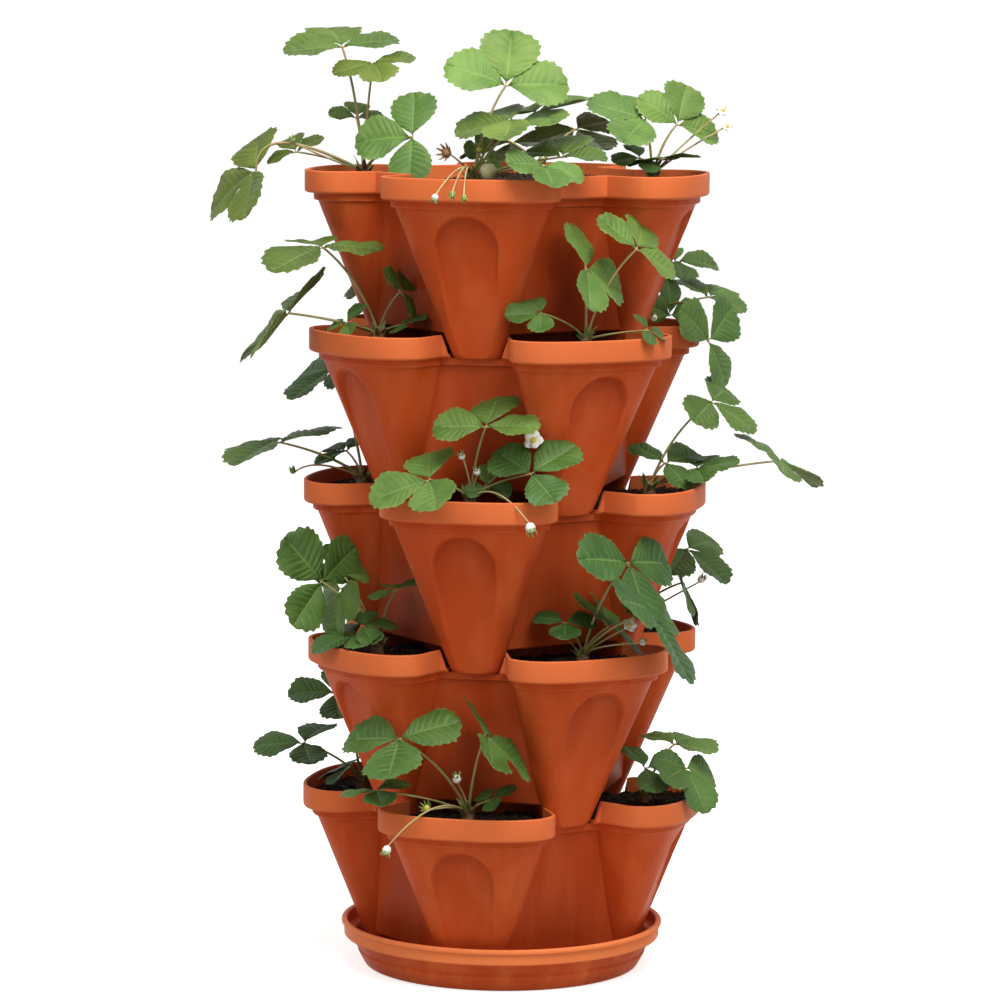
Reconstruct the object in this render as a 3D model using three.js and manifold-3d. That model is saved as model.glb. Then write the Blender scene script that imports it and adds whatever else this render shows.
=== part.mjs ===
// Vertical planter tower: five four-lobed pots stacked in a round saucer, each planted with four strawberry plants.
// Millimetres, +Z up. The origin is the centre of the saucer's flat underside, and -Y is the tower's front.

import * as THREE from 'three';
import { mergeVertices } from 'three/addons/utils/BufferGeometryUtils.js';
import Module from 'manifold-3d';

const wasm = await Module();
wasm.setup();

// The stack
const tierCount = 5;
const lobeCount = 4;
const potHeight = 134.4;      // foot to rim top
const nestDepth = 16.9;       // how far a foot stands down in the notch of the pot below
const gap = 0.3;              // running gap between pieces that touch or fit
const overrun = 5;            // how far a cutting tool runs past what it cuts

// A pot's lobe, seen from above: reach is from the tower's axis to the front, half width is across the lobe
const wall = 2.6;
const rimReach = 152.4;
const rimHalfWidth = 67.2;
const rimHeight = 17;
const rimInset = 6.6;         // rim face to sub-band face
const bandHeight = 5.8;       // the narrow band under the rim
const bandInset = 2.9;        // sub-band face to wall face
const footReach = 100.5;
const footHalfWidth = 18.5;
const noseShare = 0.557;      // depth of the rounded front, as a share of the half width
const noseExponent = 2.4;     // superellipse of the rounded front
const noseSteps = 3;          // facets from the middle of the front to the side
const lobeRootReach = 45;     // where the lobes run together inside
const lobeRootShare = 0.46;   // half width there, as a share of the half width at the front

// The arched recess in a lobe's front
const archHalfWidth = 24.5;
const archDepth = 5.5;
const archBelowRim = 10;
const archSteps = 2;

// The wall between two lobes, and the seat on top of it for a foot of the pot above
const webFootReach = 85;
const webFootHeight = 30;
const webCornerReach = 92.5;
const notchClearance = 1.2;   // beside a foot in its notch
const seatMargin = 3;         // how far the seat reaches past a foot to either side
const seatInnerReach = 66;

// The round cup in the middle of the pot's floor, and the loose disc in it
const cupRadius = 61;
const cupLift = 2;            // the cup's underside above the feet
const cupLedge = 7;
const cupSides = 16;
const discThickness = 3;
const discHoleRadius = 4;
const discHoleSides = 4;
const discHoleRing = 33;
const discHoleCount = 6;

// The saucer
const saucerRimRadius = 123;
const saucerHeight = 35.2;
const saucerRimHeight = 12.5;
const saucerLipHeight = 3.6;
const saucerLipOverhang = 2;
const saucerRimStep = 5;
const saucerFootClearance = 4; // from a foot's front to the edge of the saucer's base
const saucerFloor = 4.2;
const saucerWall = 2.5;
const saucerGrooveHeight = 13;
const saucerGrooveDepth = 1.6;
const saucerSides = 32;

// Potting mix and plants
const soilBelowRim = 8;
const footClearance = 1;      // room that the mix leaves round the feet and cup of the pot above
const legNoseSteps = 2;
const crownRadius = 6.5;
const crownHeight = 11;
const rootDepth = 18;
const rootTipRadius = 3;
const crownSides = 4;
const crownBehindRim = 40.4;  // from the rim's front in to a plant's crown
const petioleRadius = 1.2;
const petioleSides = 3;
const petioleSteps = 2;
const hangingRise = 24;       // half the height that the stalk of a hanging leaf climbs before it comes down
const petioleHoldShare = 0.14; // where the petiole meets the middle leaflet, of its length
const leafThickness = 1.6;
const leafWidthShare = 0.84;  // of a leaflet's length
const leafFoldShare = 0.16;   // how far its edges rise, of their distance from the midrib
const sideLeafletShare = 0.92;

const tierPitch = potHeight - nestDepth;
const seatDrop = nestDepth + gap;
const rimUnderside = potHeight - rimHeight;
const bandUnderside = rimUnderside - bandHeight;
const bandReach = rimReach - rimInset;
const bandHalfWidth = rimHalfWidth - rimInset;
const wallReach = bandReach - bandInset;
const wallHalfWidth = bandHalfWidth - bandInset;
const webBandReach = footReach - rimInset; // a foot stands flush with the rim over the web
const webTopReach = webBandReach - bandInset;
const seatLevel = potHeight - seatDrop;
const saucerBaseRadius = footReach + saucerFootClearance;
const firstFootLevel = saucerFloor + gap;
const soilLevel = potHeight - soilBelowRim;
const crownReach = rimReach - crownBehindRim;
const lobeTurn = 2 * Math.PI / lobeCount;

// Solids from meshes

function toSolid(geometry) {
  const bare = geometry.clone();
  bare.deleteAttribute('normal');
  bare.deleteAttribute('uv');
  const merged = mergeVertices(bare, gap / 100);
  const mesh = new wasm.Mesh({
    numProp: 3,
    vertProperties: new Float32Array(merged.attributes.position.array),
    triVerts: new Uint32Array(merged.index.array),
  });
  return new wasm.Manifold(mesh);
}

function toGeometry(solid) {
  const mesh = solid.getMesh();
  const geometry = new THREE.BufferGeometry();
  geometry.setAttribute('position', new THREE.BufferAttribute(new Float32Array(mesh.vertProperties), 3));
  geometry.setIndex(new THREE.BufferAttribute(new Uint32Array(mesh.triVerts), 1));
  return geometry;
}

function join(solids) {
  return solids.reduce((all, one) => all.add(one));
}

// The same solid without the pockets of air that crossing leaves can shut in
function filled(solid) {
  return join(solid.decompose().filter((part) => part.volume() > 0));
}

// A stack of outlines with as many points each, closed at both ends
function loft(levels) {
  const count = levels[0].outline.length;
  const points = levels.flatMap(({ outline, z }) => outline.flatMap(([x, y]) => [x, y, z]));
  const faces = [];
  for (let ring = 0; ring + 1 < levels.length; ring++) {
    for (let i = 0; i < count; i++) {
      const a = ring * count + i;
      const b = ring * count + (i + 1) % count;
      faces.push(a, b, b + count, a, b + count, a + count);
    }
  }
  const lid = (level, offset, flip) => {
    const contour = level.outline.map(([x, y]) => new THREE.Vector2(x, y));
    for (const [a, b, c] of THREE.ShapeUtils.triangulateShape(contour, [])) {
      faces.push(...(flip ? [c, b, a] : [a, b, c]).map((i) => i + offset));
    }
  };
  lid(levels[0], 0, true);
  lid(levels[levels.length - 1], (levels.length - 1) * count, false);
  const geometry = new THREE.BufferGeometry();
  geometry.setAttribute('position', new THREE.Float32BufferAttribute(points, 3));
  geometry.setIndex(faces);
  return toSolid(geometry);
}

function block(lowX, highX, halfY, lowZ, highZ) {
  const box = new THREE.BoxGeometry(highX - lowX, 2 * halfY, highZ - lowZ);
  box.translate((lowX + highX) / 2, 0, (lowZ + highZ) / 2);
  return toSolid(box);
}

function turned(profile, sides) {
  const points = profile.map(([radius, z]) => new THREE.Vector2(radius, z));
  const geometry = new THREE.LatheGeometry(points, sides);
  geometry.rotateX(Math.PI / 2);
  return toSolid(geometry);
}

// One copy of a tool for each lobe, or with half = 0.5 for each gap between two lobes
function round(tool, half = 0) {
  const copies = [];
  for (let i = 0; i < lobeCount; i++) copies.push(tool.rotate([0, 0, THREE.MathUtils.radToDeg((i + half) * lobeTurn)]));
  return join(copies);
}

// The pot

// Outline of a lobe that reaches out along +X, from its root on one side round the front to its root on the other
function lobeOutline(reach, halfWidth, inset = 0, steps = noseSteps) {
  const width = halfWidth - inset;
  const nose = noseShare * halfWidth - inset * noseShare;
  const side = [];
  for (let i = 0; i <= steps; i++) {
    const angle = (i / steps) * Math.PI / 2;
    side.push([
      reach - inset - nose + nose * Math.cos(angle) ** (2 / noseExponent),
      width * Math.sin(angle) ** (2 / noseExponent),
    ]);
  }
  side.push([lobeRootReach, lobeRootShare * halfWidth - inset]);
  const mirrored = side.slice(1).reverse().map(([x, y]) => [x, -y]);
  return [...mirrored, ...side];
}

function wallOutline(z, inset, steps) {
  const share = z / bandUnderside;
  const reach = footReach + share * (wallReach - footReach);
  const halfWidth = footHalfWidth + share * (wallHalfWidth - footHalfWidth);
  return lobeOutline(reach, halfWidth, inset, steps);
}

function lobeOuter() {
  return loft([
    { outline: wallOutline(0, 0), z: 0 },
    { outline: wallOutline(bandUnderside, 0), z: bandUnderside },
    { outline: lobeOutline(bandReach, bandHalfWidth), z: bandUnderside },
    { outline: lobeOutline(bandReach, bandHalfWidth), z: rimUnderside },
    { outline: lobeOutline(rimReach, rimHalfWidth), z: rimUnderside },
    { outline: lobeOutline(rimReach, rimHalfWidth), z: potHeight },
  ]);
}

function lobeInner(clearance, top, steps) {
  const inset = wall + clearance;
  const levels = [
    { outline: wallOutline(wall + clearance, inset, steps), z: wall + clearance },
    { outline: wallOutline(bandUnderside, inset, steps), z: rimUnderside + wall + clearance },
    { outline: lobeOutline(rimReach, rimHalfWidth, inset, steps), z: rimUnderside + wall + clearance },
    { outline: lobeOutline(rimReach, rimHalfWidth, inset, steps), z: top },
  ];
  return loft(levels);
}

// Eight-sided middle of the pot: walls and rims between the lobes, and corners that are hidden inside the lobes
function middleOutline(reach) {
  const outline = [];
  const half = Math.SQRT2 * reach - webCornerReach;
  for (let i = 0; i < lobeCount; i++) {
    const cos = Math.cos(i * lobeTurn);
    const sin = Math.sin(i * lobeTurn);
    for (const y of [-half, half]) outline.push([webCornerReach * cos - y * sin, webCornerReach * sin + y * cos]);
  }
  return outline;
}

function middleOuter() {
  return loft([
    { outline: middleOutline(webFootReach), z: webFootHeight },
    { outline: middleOutline(webTopReach), z: bandUnderside },
    { outline: middleOutline(webBandReach), z: bandUnderside },
    { outline: middleOutline(webBandReach), z: rimUnderside },
    { outline: middleOutline(footReach), z: rimUnderside },
    { outline: middleOutline(footReach), z: potHeight },
  ]);
}

function middleInner(clearance, top) {
  const inset = wall + clearance;
  return loft([
    { outline: middleOutline(webFootReach - inset), z: webFootHeight + inset },
    { outline: middleOutline(webTopReach - inset), z: bandUnderside },
    { outline: middleOutline(webTopReach - inset), z: rimUnderside + inset },
    { outline: middleOutline(footReach - inset), z: rimUnderside + inset },
    { outline: middleOutline(footReach - inset), z: top },
  ]);
}

// The block of air in front of a lobe's recess: an arch that leans with the lobe's front
function archTool(inset) {
  const top = rimUnderside - archBelowRim;
  const topReach = footReach + (top / bandUnderside) * (wallReach - footReach) - archDepth;
  const lean = Math.atan2(topReach - footReach, top);
  const height = Math.hypot(topReach - footReach, top) + inset;
  const springHalf = archHalfWidth + inset;
  const footHalf = footHalfWidth + inset;
  const shape = new THREE.Shape();
  shape.moveTo(-footHalf, 0);
  shape.lineTo(footHalf, 0);
  shape.lineTo(springHalf, height - springHalf);
  if (inset === 0) {
    shape.absarc(0, height - springHalf, springHalf, 0, Math.PI, false);
  } else {
    // Inside the wall the recess is a plain block that clears the arch
    shape.lineTo(springHalf, height);
    shape.lineTo(-springHalf, height);
    shape.lineTo(-springHalf, height - springHalf);
  }
  shape.lineTo(-footHalf, 0);
  const depth = archDepth + wall + overrun;
  const geometry = new THREE.ExtrudeGeometry(shape, { depth, bevelEnabled: false, curveSegments: archSteps });
  geometry.rotateX(Math.PI / 2);
  geometry.rotateZ(Math.PI / 2);
  geometry.rotateY(lean);
  geometry.translate(footReach - inset / Math.cos(lean), 0, 0);
  return toSolid(geometry);
}

function cupHole() {
  const radius = cupRadius - wall - cupLedge;
  return turned([[0, cupLift - overrun], [radius, cupLift - overrun], [radius, cupLift + wall + overrun],
    [0, cupLift + wall + overrun]], cupSides);
}

function cupBody(inset, low, high) {
  return turned([[0, low], [cupRadius - inset, low], [cupRadius - inset, high], [0, high]], cupSides);
}

function seats(grow) {
  const seat = block(seatInnerReach - grow, webTopReach - wall / 2, footHalfWidth + seatMargin + grow,
    seatLevel - wall - grow, seatLevel + grow);
  return round(seat, 0.5);
}

// Cut beside the sloping sides of the feet that stand in them
function notches(clearance, innerReach, floor) {
  const halfWidthAt = (z) => {
    const share = (z - seatLevel) / bandUnderside;
    return footHalfWidth + share * (wallHalfWidth - footHalfWidth) + notchClearance + clearance;
  };
  const levels = [floor, potHeight + overrun].map((z) => {
    const y = halfWidthAt(z);
    return { outline: [[innerReach, -y], [rimReach, -y], [rimReach, y], [innerReach, y]], z };
  });
  return round(loft(levels), 0.5);
}

// The top pot's rim runs right round. The others are notched for the feet of the pot above.
function pot(hasPotAbove) {
  const outerParts = [
    round(lobeOuter()).subtract(round(archTool(0))),
    middleOuter(),
    cupBody(0, cupLift, webFootHeight + wall),
  ];
  const innerParts = [
    round(lobeInner(0, potHeight + overrun)).subtract(round(archTool(wall))),
    middleInner(0, potHeight + overrun),
    cupBody(wall, cupLift + wall, webFootHeight + 2 * wall),
  ];
  const shell = join(outerParts).subtract(join(innerParts)).subtract(cupHole());
  return hasPotAbove ? shell.subtract(notches(0, 0, seatLevel)).add(seats(0)) : shell;
}

// The perforated disc in the cup

function drainDisc() {
  const shape = new THREE.Shape();
  shape.absarc(0, 0, cupRadius - wall - footClearance, 0, 2 * Math.PI, false);
  for (let i = 0; i < discHoleCount; i++) {
    const angle = (i / discHoleCount) * 2 * Math.PI;
    const hole = new THREE.Path();
    const x = discHoleRing * Math.cos(angle);
    const y = discHoleRing * Math.sin(angle);
    for (let j = 0; j < discHoleSides; j++) {
      const turn = (j / discHoleSides) * 2 * Math.PI;
      const corner = [x + discHoleRadius * Math.cos(turn), y + discHoleRadius * Math.sin(turn)];
      if (j === 0) hole.moveTo(...corner);
      else hole.lineTo(...corner);
    }
    hole.closePath();
    shape.holes.push(hole);
  }
  const geometry = new THREE.ExtrudeGeometry(shape, {
    depth: discThickness, bevelEnabled: false, curveSegments: cupSides / 2,
  });
  geometry.translate(0, 0, cupLift + wall + gap);
  return toSolid(geometry);
}

// The potting mix: what the pot holds, cut back round the seats, the roots and the pot above

function soil(hasPotAbove) {
  const discTop = cupLift + wall + gap + discThickness + gap;
  const body = join([
    round(lobeInner(gap, soilLevel)).subtract(round(archTool(wall + gap))),
    middleInner(gap, soilLevel),
    cupBody(wall + gap, discTop, webFootHeight + 2 * wall),
  ]).subtract(cupBody(-overrun, -overrun, discTop).intersect(cupBody(wall + gap, -overrun, discTop)));
  const cuts = [round(rootPlug(gap).translate([crownReach, 0, 0]))];
  if (hasPotAbove) {
    cuts.push(seats(gap), notches(gap, (seatInnerReach + webTopReach) / 2, seatLevel - gap));
    const leg = loft([
      { outline: wallOutline(0, -footClearance, legNoseSteps), z: -footClearance },
      { outline: wallOutline(webFootHeight, -footClearance, legNoseSteps), z: webFootHeight },
    ]);
    const above = join([round(leg, 0.5), cupBody(-footClearance, cupLift - footClearance, webFootHeight)]);
    cuts.push(above.translate([0, 0, tierPitch]));
  }
  return body.subtract(join(cuts));
}

// A strawberry plant

function rootPlug(clearance) {
  return turned([
    [0, soilLevel - rootDepth - clearance],
    [rootTipRadius + clearance, soilLevel - rootDepth - clearance],
    [crownRadius + clearance, soilLevel + clearance],
    [0, soilLevel + clearance],
  ], crownSides);
}

function crown() {
  return turned([
    [0, soilLevel - rootDepth],
    [rootTipRadius, soilLevel - rootDepth],
    [crownRadius, soilLevel],
    [crownRadius / 2, soilLevel + crownHeight],
    [0, soilLevel + crownHeight],
  ], crownSides).translate([crownReach, 0, 0]);
}

function petiole(end) {
  const start = new THREE.Vector3(crownReach, 0, soilLevel + crownHeight / 2);
  const hangs = end.z < soilLevel + hangingRise / 2;
  const bend = start.clone().lerp(end, hangs ? 1 : 1 / 3);
  bend.z = hangs ? soilLevel + 2 * hangingRise : start.z + (end.z - start.z) * 2 / 3;
  const section = new THREE.Shape();
  for (let i = 0; i < petioleSides; i++) {
    const angle = (i / petioleSides) * 2 * Math.PI;
    const corner = [petioleRadius * Math.cos(angle), petioleRadius * Math.sin(angle)];
    if (i === 0) section.moveTo(...corner);
    else section.lineTo(...corner);
  }
  section.closePath();
  const path = new THREE.QuadraticBezierCurve3(start, bend, end);
  return toSolid(new THREE.ExtrudeGeometry(section, { extrudePath: path, steps: petioleSteps, bevelEnabled: false }));
}

// Outline of a leaflet on one side of its midrib, as shares of its length and half width
const leafletShares = [[0.38, 0.66], [0.78, 0.92]];

// A leaf of three leaflets. place is [out, side, up, leaflet length] from the crown, as shares of the tier pitch;
// turns are in degrees: which way the leaf tilts, how much, where its middle leaflet points, and how far the other
// two are spread from it. Zero degrees is outwards, and 90 is to the side.
function leaf(place, turns) {
  const [out, side, rise, length] = place.map((share) => share * tierPitch);
  const [tiltTo, tilt, heading, spread] = turns.map(THREE.MathUtils.degToRad);
  const junction = new THREE.Vector3(crownReach + out, side, soilLevel + rise);
  const up = new THREE.Vector3(Math.sin(tilt) * Math.cos(tiltTo), Math.sin(tilt) * Math.sin(tiltTo), Math.cos(tilt));
  const downhill = new THREE.Vector3(
    Math.cos(tilt) * Math.cos(tiltTo), Math.cos(tilt) * Math.sin(tiltTo), -Math.sin(tilt));
  const level = up.clone().cross(downhill);
  const at = (angle, forward, sideways, rise) => {
    const x = forward * Math.cos(angle) - sideways * Math.sin(angle);
    const y = forward * Math.sin(angle) + sideways * Math.cos(angle);
    return junction.clone().addScaledVector(downhill, x).addScaledVector(level, y).addScaledVector(up, rise);
  };
  const edge = [];
  const addLeaflet = (angle, size) => {
    const half = leafletShares.map(([a, b]) => [a * size, b * size * leafWidthShare / 2]);
    for (const [a, b] of half) edge.push(at(angle, a, -b, b * leafFoldShare));
    edge.push(at(angle, size, 0, 0));
    for (const [a, b] of half.reverse()) edge.push(at(angle, a, b, b * leafFoldShare));
  };
  const first = heading - tiltTo;
  addLeaflet(first - spread, length * sideLeafletShare);
  edge.push(at(first - spread / 2, leafThickness, 0, 0));
  addLeaflet(first, length);
  edge.push(at(first + spread / 2, leafThickness, 0, 0));
  addLeaflet(first + spread, length * sideLeafletShare);
  edge.push(at(first + Math.PI, leafThickness, 0, 0));
  const points = [...edge, at(0, 0, 0, leafThickness / 2), at(0, 0, 0, -leafThickness / 2)];
  const faces = [];
  edge.forEach((_, i) => {
    const next = (i + 1) % edge.length;
    faces.push(i, next, edge.length, next, i, edge.length + 1);
  });
  const geometry = new THREE.BufferGeometry();
  geometry.setAttribute('position', new THREE.Float32BufferAttribute(points.flatMap((p) => p.toArray()), 3));
  geometry.setIndex(faces);
  return toSolid(geometry).add(petiole(at(first, length * petioleHoldShare, 0, 0)));
}

// Leaves of each plant. The first four numbers are leaf()'s place, as shares, and the last four are its turns.
const leafShares = {
  tier_1_a: [
    [0.0, 0.21, 0.64, 0.42, 27, 56, 194, 76],
    [-0.2, 0.36, 0.47, 0.35, 323, 14, 122, 92],
    [0.03, 0.26, 0.43, 0.35, 333, 20, 286, 76],
    [-0.1, 0.04, 0.18, 0.17, 56, 70, 218, 76],
    [0.2, 0.5, 0.16, 0.28, 54, 28, 30, 76],
    [-0.13, 0.54, 0.2, 0.3, 0, 24, 171, 76],
  ],
  tier_1_b: [
    [-0.03, -0.09, 0.41, 0.37, 312, 30, 185, 76],
    [0.15, 0.04, 0.38, 0.32, 317, 59, 106, 76],
    [0.09, -0.15, 0.17, 0.26, 155, 8, 84, 76],
    [-0.06, -0.1, 0.17, 0.19, 305, 29, 221, 95],
  ],
  tier_1_c: [
    [0.2, -0.2, 0.3, 0.32, 0, 30, 330, 95],
    [-0.1, 0.25, 0.25, 0.3, 90, 25, 80, 95],
    [0.25, 0.25, 0.2, 0.28, 30, 35, 30, 95],
  ],
  tier_1_d: [
    [0.14, 0.03, 0.85, 0.4, 99, 22, 297, 84],
    [-0.08, 0.07, 0.75, 0.29, 80, 22, 114, 85],
    [0.66, 0.24, 0.05, 0.45, 42, 52, 355, 83],
    [0.44, 0.06, 0.17, 0.22, 68, 33, 292, 76],
    [-0.41, 0.34, 0.29, 0.36, 92, 54, 6, 89],
    [0.08, -0.11, 0.39, 0.2, 114, 31, 285, 76],
  ],
  tier_2_a: [
    [0.3, -0.19, 0.6, 0.42, 15, 13, 12, 115],
    [0.49, -0.3, 0.18, 0.47, 332, 47, 293, 91],
    [0.22, -0.04, 0.12, 0.17, 4, 44, 175, 110],
    [-0.06, 0.18, 0.33, 0.2, 126, 60, 242, 95],
    [-0.1, 0.14, 0.12, 0.16, 354, 25, 125, 87],
  ],
  tier_2_b: [
    [0.12, -0.08, 0.51, 0.35, 30, 60, 90, 95],
    [0.03, -0.35, 0.23, 0.22, 333, 25, 249, 76],
    [0.28, 0.19, 0.63, 0.33, 21, 49, 148, 82],
    [0.28, 0.28, 0.12, 0.15, 29, 45, 91, 107],
  ],
  tier_2_c: [
    [0.1, -0.33, 0.12, 0.24, 286, 85, 99, 76],
    [0.21, -0.62, -0.03, 0.35, 286, 80, 52, 100],
    [0.44, -0.28, 0.23, 0.28, 274, 23, 31, 76],
    [0.26, -0.16, 0.46, 0.28, 260, 21, 344, 95],
  ],
  tier_2_d: [
    [0.25, 0.2, 0.35, 0.32, 30, 35, 30, 95],
    [0.2, -0.25, 0.25, 0.3, 320, 30, 320, 95],
  ],
  tier_3_a: [
    [0.3, -0.19, 0.2, 0.38, 335, 34, 284, 93],
    [0.18, 0.14, 0.53, 0.36, 353, 24, 180, 89],
    [0.14, 0.42, 0.24, 0.34, 357, 40, 136, 97],
    [0.02, 0.12, 0.12, 0.16, 18, 59, 198, 95],
  ],
  tier_3_b: [
    [0.1, 0.02, 0.21, 0.29, 310, 29, 59, 99],
    [0.3, 0.03, 0.18, 0.27, 244, 18, 8, 76],
    [0.81, 0.19, 0.23, 0.36, 12, 34, 50, 120],
    [0.37, 0.17, 0.6, 0.33, 329, 35, 355, 89],
  ],
  tier_3_c: [
    [0.25, -0.2, 0.35, 0.32, 330, 35, 330, 95],
    [0.2, 0.25, 0.25, 0.3, 40, 30, 40, 95],
  ],
  tier_3_d: [
    [0.53, 0.12, 0.28, 0.46, 20, 13, 321, 100],
    [0.24, -0.12, 0.74, 0.35, 42, 29, 45, 80],
    [0.13, -0.06, 0.22, 0.24, 43, 20, 315, 76],
  ],
  tier_4_a: [
    [0.3, -0.19, 0.46, 0.38, 98, 80, 318, 96],
    [0.13, -0.24, 0.5, 0.22, 90, 49, 270, 95],
    [0.2, -0.11, 0.42, 0.33, 354, 80, 352, 76],
    [0.17, 0.1, 0.2, 0.22, 71, 19, 158, 76],
    [0.16, 0.02, 0.14, 0.3, 4, 15, 352, 79],
    [-0.01, 0.22, 0.44, 0.2, 347, 17, 250, 89],
  ],
  tier_4_b: [
    [0.22, 0.19, 0.65, 0.42, 16, 56, 7, 94],
    [0.38, 0.26, 0.35, 0.5, 49, 56, 35, 100],
    [0.1, 0.13, 0.23, 0.33, 47, 45, 163, 77],
    [-0.03, -0.12, 0.26, 0.22, 344, 20, 329, 110],
  ],
  tier_4_c: [
    [0.34, -0.21, 0.56, 0.34, 277, 41, 301, 80],
    [0.2, -0.36, 0.36, 0.3, 329, 70, 346, 76],
  ],
  tier_4_d: [
    [0.25, 0.2, 0.35, 0.32, 30, 35, 30, 95],
    [0.2, -0.25, 0.25, 0.3, 320, 30, 320, 95],
  ],
  tier_5_a: [
    [0.2, -0.4, 0.54, 0.42, 332, 28, 1, 107],
    [0.2, 0.16, 0.58, 0.4, 93, 46, 123, 92],
    [0.01, 0.14, 0.14, 0.18, 314, 29, 116, 95],
    [0.3, -0.53, 0.22, 0.24, 332, 15, 24, 98],
  ],
  tier_5_b: [
    [0.18, 0.04, 0.38, 0.31, 332, 6, 68, 76],
    [0.04, -0.22, 0.26, 0.26, 299, 29, 38, 95],
    [0.29, -0.15, 0.26, 0.31, 337, 52, 332, 76],
  ],
  tier_5_c: [
    [0.25, -0.2, 0.35, 0.32, 330, 35, 330, 95],
    [0.2, 0.25, 0.25, 0.3, 40, 30, 40, 95],
  ],
  tier_5_d: [
    [0.36, 0.13, 0.3, 0.32, 82, 21, 4, 110],
    [0.21, -0.12, 0.6, 0.3, 108, 29, 15, 95],
    [0.05, 0.09, 0.15, 0.24, 22, 25, 349, 77],
  ],
};

function plant(rows) {
  const leaves = rows.map((row) => leaf(row.slice(0, 4), row.slice(4)));
  return filled(join([crown(), ...leaves]));
}

// The saucer

function saucer() {
  const rimLow = saucerHeight - saucerRimHeight;
  const lipLow = saucerHeight - saucerLipHeight;
  const faceRadius = saucerRimRadius - saucerLipOverhang;
  const wallTop = faceRadius - saucerRimStep;
  const grooveRadius = saucerBaseRadius + (wallTop - saucerBaseRadius) * saucerGrooveHeight / rimLow;
  const profile = [
    [0, 0],
    [saucerBaseRadius, 0],
    [grooveRadius, saucerGrooveHeight - saucerGrooveDepth],
    [grooveRadius - saucerGrooveDepth, saucerGrooveHeight],
    [grooveRadius, saucerGrooveHeight + saucerGrooveDepth],
    [wallTop, rimLow],
    [faceRadius, rimLow],
    [faceRadius, lipLow],
    [saucerRimRadius, lipLow],
    [saucerRimRadius, saucerHeight],
    [faceRadius - saucerWall, saucerHeight],
    [faceRadius - saucerWall, rimLow + saucerWall],
    [wallTop - saucerWall, rimLow + saucerWall],
    [saucerBaseRadius - saucerWall, saucerFloor],
    [0, saucerFloor],
  ];
  return turned(profile, saucerSides);
}

// Materials

const terracotta = { color: 0xb9522a, roughness: 0.55, metalness: 0 };
const saucerPlastic = { color: 0xc25c30, roughness: 0.5, metalness: 0 };
const discPlastic = { color: 0x9c4524, roughness: 0.6, metalness: 0 };
const mix = { color: 0x1b1512, roughness: 0.95, metalness: 0 };
const foliage = { color: 0x4e8a3e, roughness: 0.6, metalness: 0 };

// The assembly

const tower = new THREE.Group();

function addPiece(parent, name, geometry, look) {
  const mesh = new THREE.Mesh(geometry, new THREE.MeshStandardMaterial(look));
  mesh.name = name;
  parent.add(mesh);
  return mesh;
}

addPiece(tower, 'saucer', toGeometry(saucer()), saucerPlastic);

const topPotGeometry = toGeometry(pot(false));
const lowerPotGeometry = toGeometry(pot(true));
const discGeometry = toGeometry(drainDisc());
const topSoilGeometry = toGeometry(soil(false));
const lowerSoilGeometry = toGeometry(soil(true));
const lobeLetters = ['a', 'b', 'c', 'd'];

for (let tier = 1; tier <= tierCount; tier++) {
  const stage = new THREE.Group();
  stage.position.z = firstFootLevel + (tierCount - tier) * tierPitch;
  // A lobe of an odd tier faces the front, and even tiers are turned half a lobe to their left
  stage.rotation.z = -Math.PI / 2 - (tier % 2 === 0 ? lobeTurn / 2 : 0);
  tower.add(stage);
  addPiece(stage, `pot_tier_${tier}`, tier === 1 ? topPotGeometry : lowerPotGeometry, terracotta);
  addPiece(stage, `drain_disc_tier_${tier}`, discGeometry, discPlastic);
  addPiece(stage, `soil_tier_${tier}`, tier === 1 ? topSoilGeometry : lowerSoilGeometry, mix);
  lobeLetters.forEach((letter, lobe) => {
    const key = `tier_${tier}_${letter}`;
    const mesh = addPiece(stage, `plant_${key}`, toGeometry(plant(leafShares[key])), foliage);
    mesh.rotation.z = lobe * lobeTurn;
  });
}

export default tower;
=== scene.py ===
"""Looks of the planter tower: moulded terracotta pots, saucer, potting mix and strawberry plants.

Sizes are in millimetres unless a name or a comment says otherwise, and MM turns them into Blender's metres.
"""

import math

import bmesh
import bpy
import numpy as np
from mathutils import Matrix, Vector


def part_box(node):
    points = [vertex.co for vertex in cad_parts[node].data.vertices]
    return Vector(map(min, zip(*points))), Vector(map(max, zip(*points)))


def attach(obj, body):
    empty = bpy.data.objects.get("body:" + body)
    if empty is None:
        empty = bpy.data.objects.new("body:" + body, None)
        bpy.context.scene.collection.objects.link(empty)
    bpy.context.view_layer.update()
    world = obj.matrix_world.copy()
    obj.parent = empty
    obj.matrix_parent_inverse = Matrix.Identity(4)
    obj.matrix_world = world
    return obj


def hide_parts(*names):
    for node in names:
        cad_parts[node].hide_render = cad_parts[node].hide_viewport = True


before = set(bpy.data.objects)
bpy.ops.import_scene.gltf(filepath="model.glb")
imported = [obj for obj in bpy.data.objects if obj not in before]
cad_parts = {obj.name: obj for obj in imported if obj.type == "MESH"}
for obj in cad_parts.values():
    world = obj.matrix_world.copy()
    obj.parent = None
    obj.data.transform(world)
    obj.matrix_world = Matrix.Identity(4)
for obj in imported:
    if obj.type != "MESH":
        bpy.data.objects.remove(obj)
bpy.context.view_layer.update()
MM = 0.001

# Camera, light and floor

CAMERA_TURN = math.radians(13.07)  # round the tower, towards its right
CAMERA_REACH = 3412.3
CAMERA_HEIGHT = 765.0
CAMERA_DIP = 0.1188
CAMERA_ROLL = 0.0076
CAMERA_LENS = 162.17
CAMERA_SHIFT = -0.0041
SENSOR_WIDTH = 36
# Metres from here to FLOOR_DROP
CAMERA_FAR_END = 200
LAMP_AIM = (0, 0, 0.3)
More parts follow.
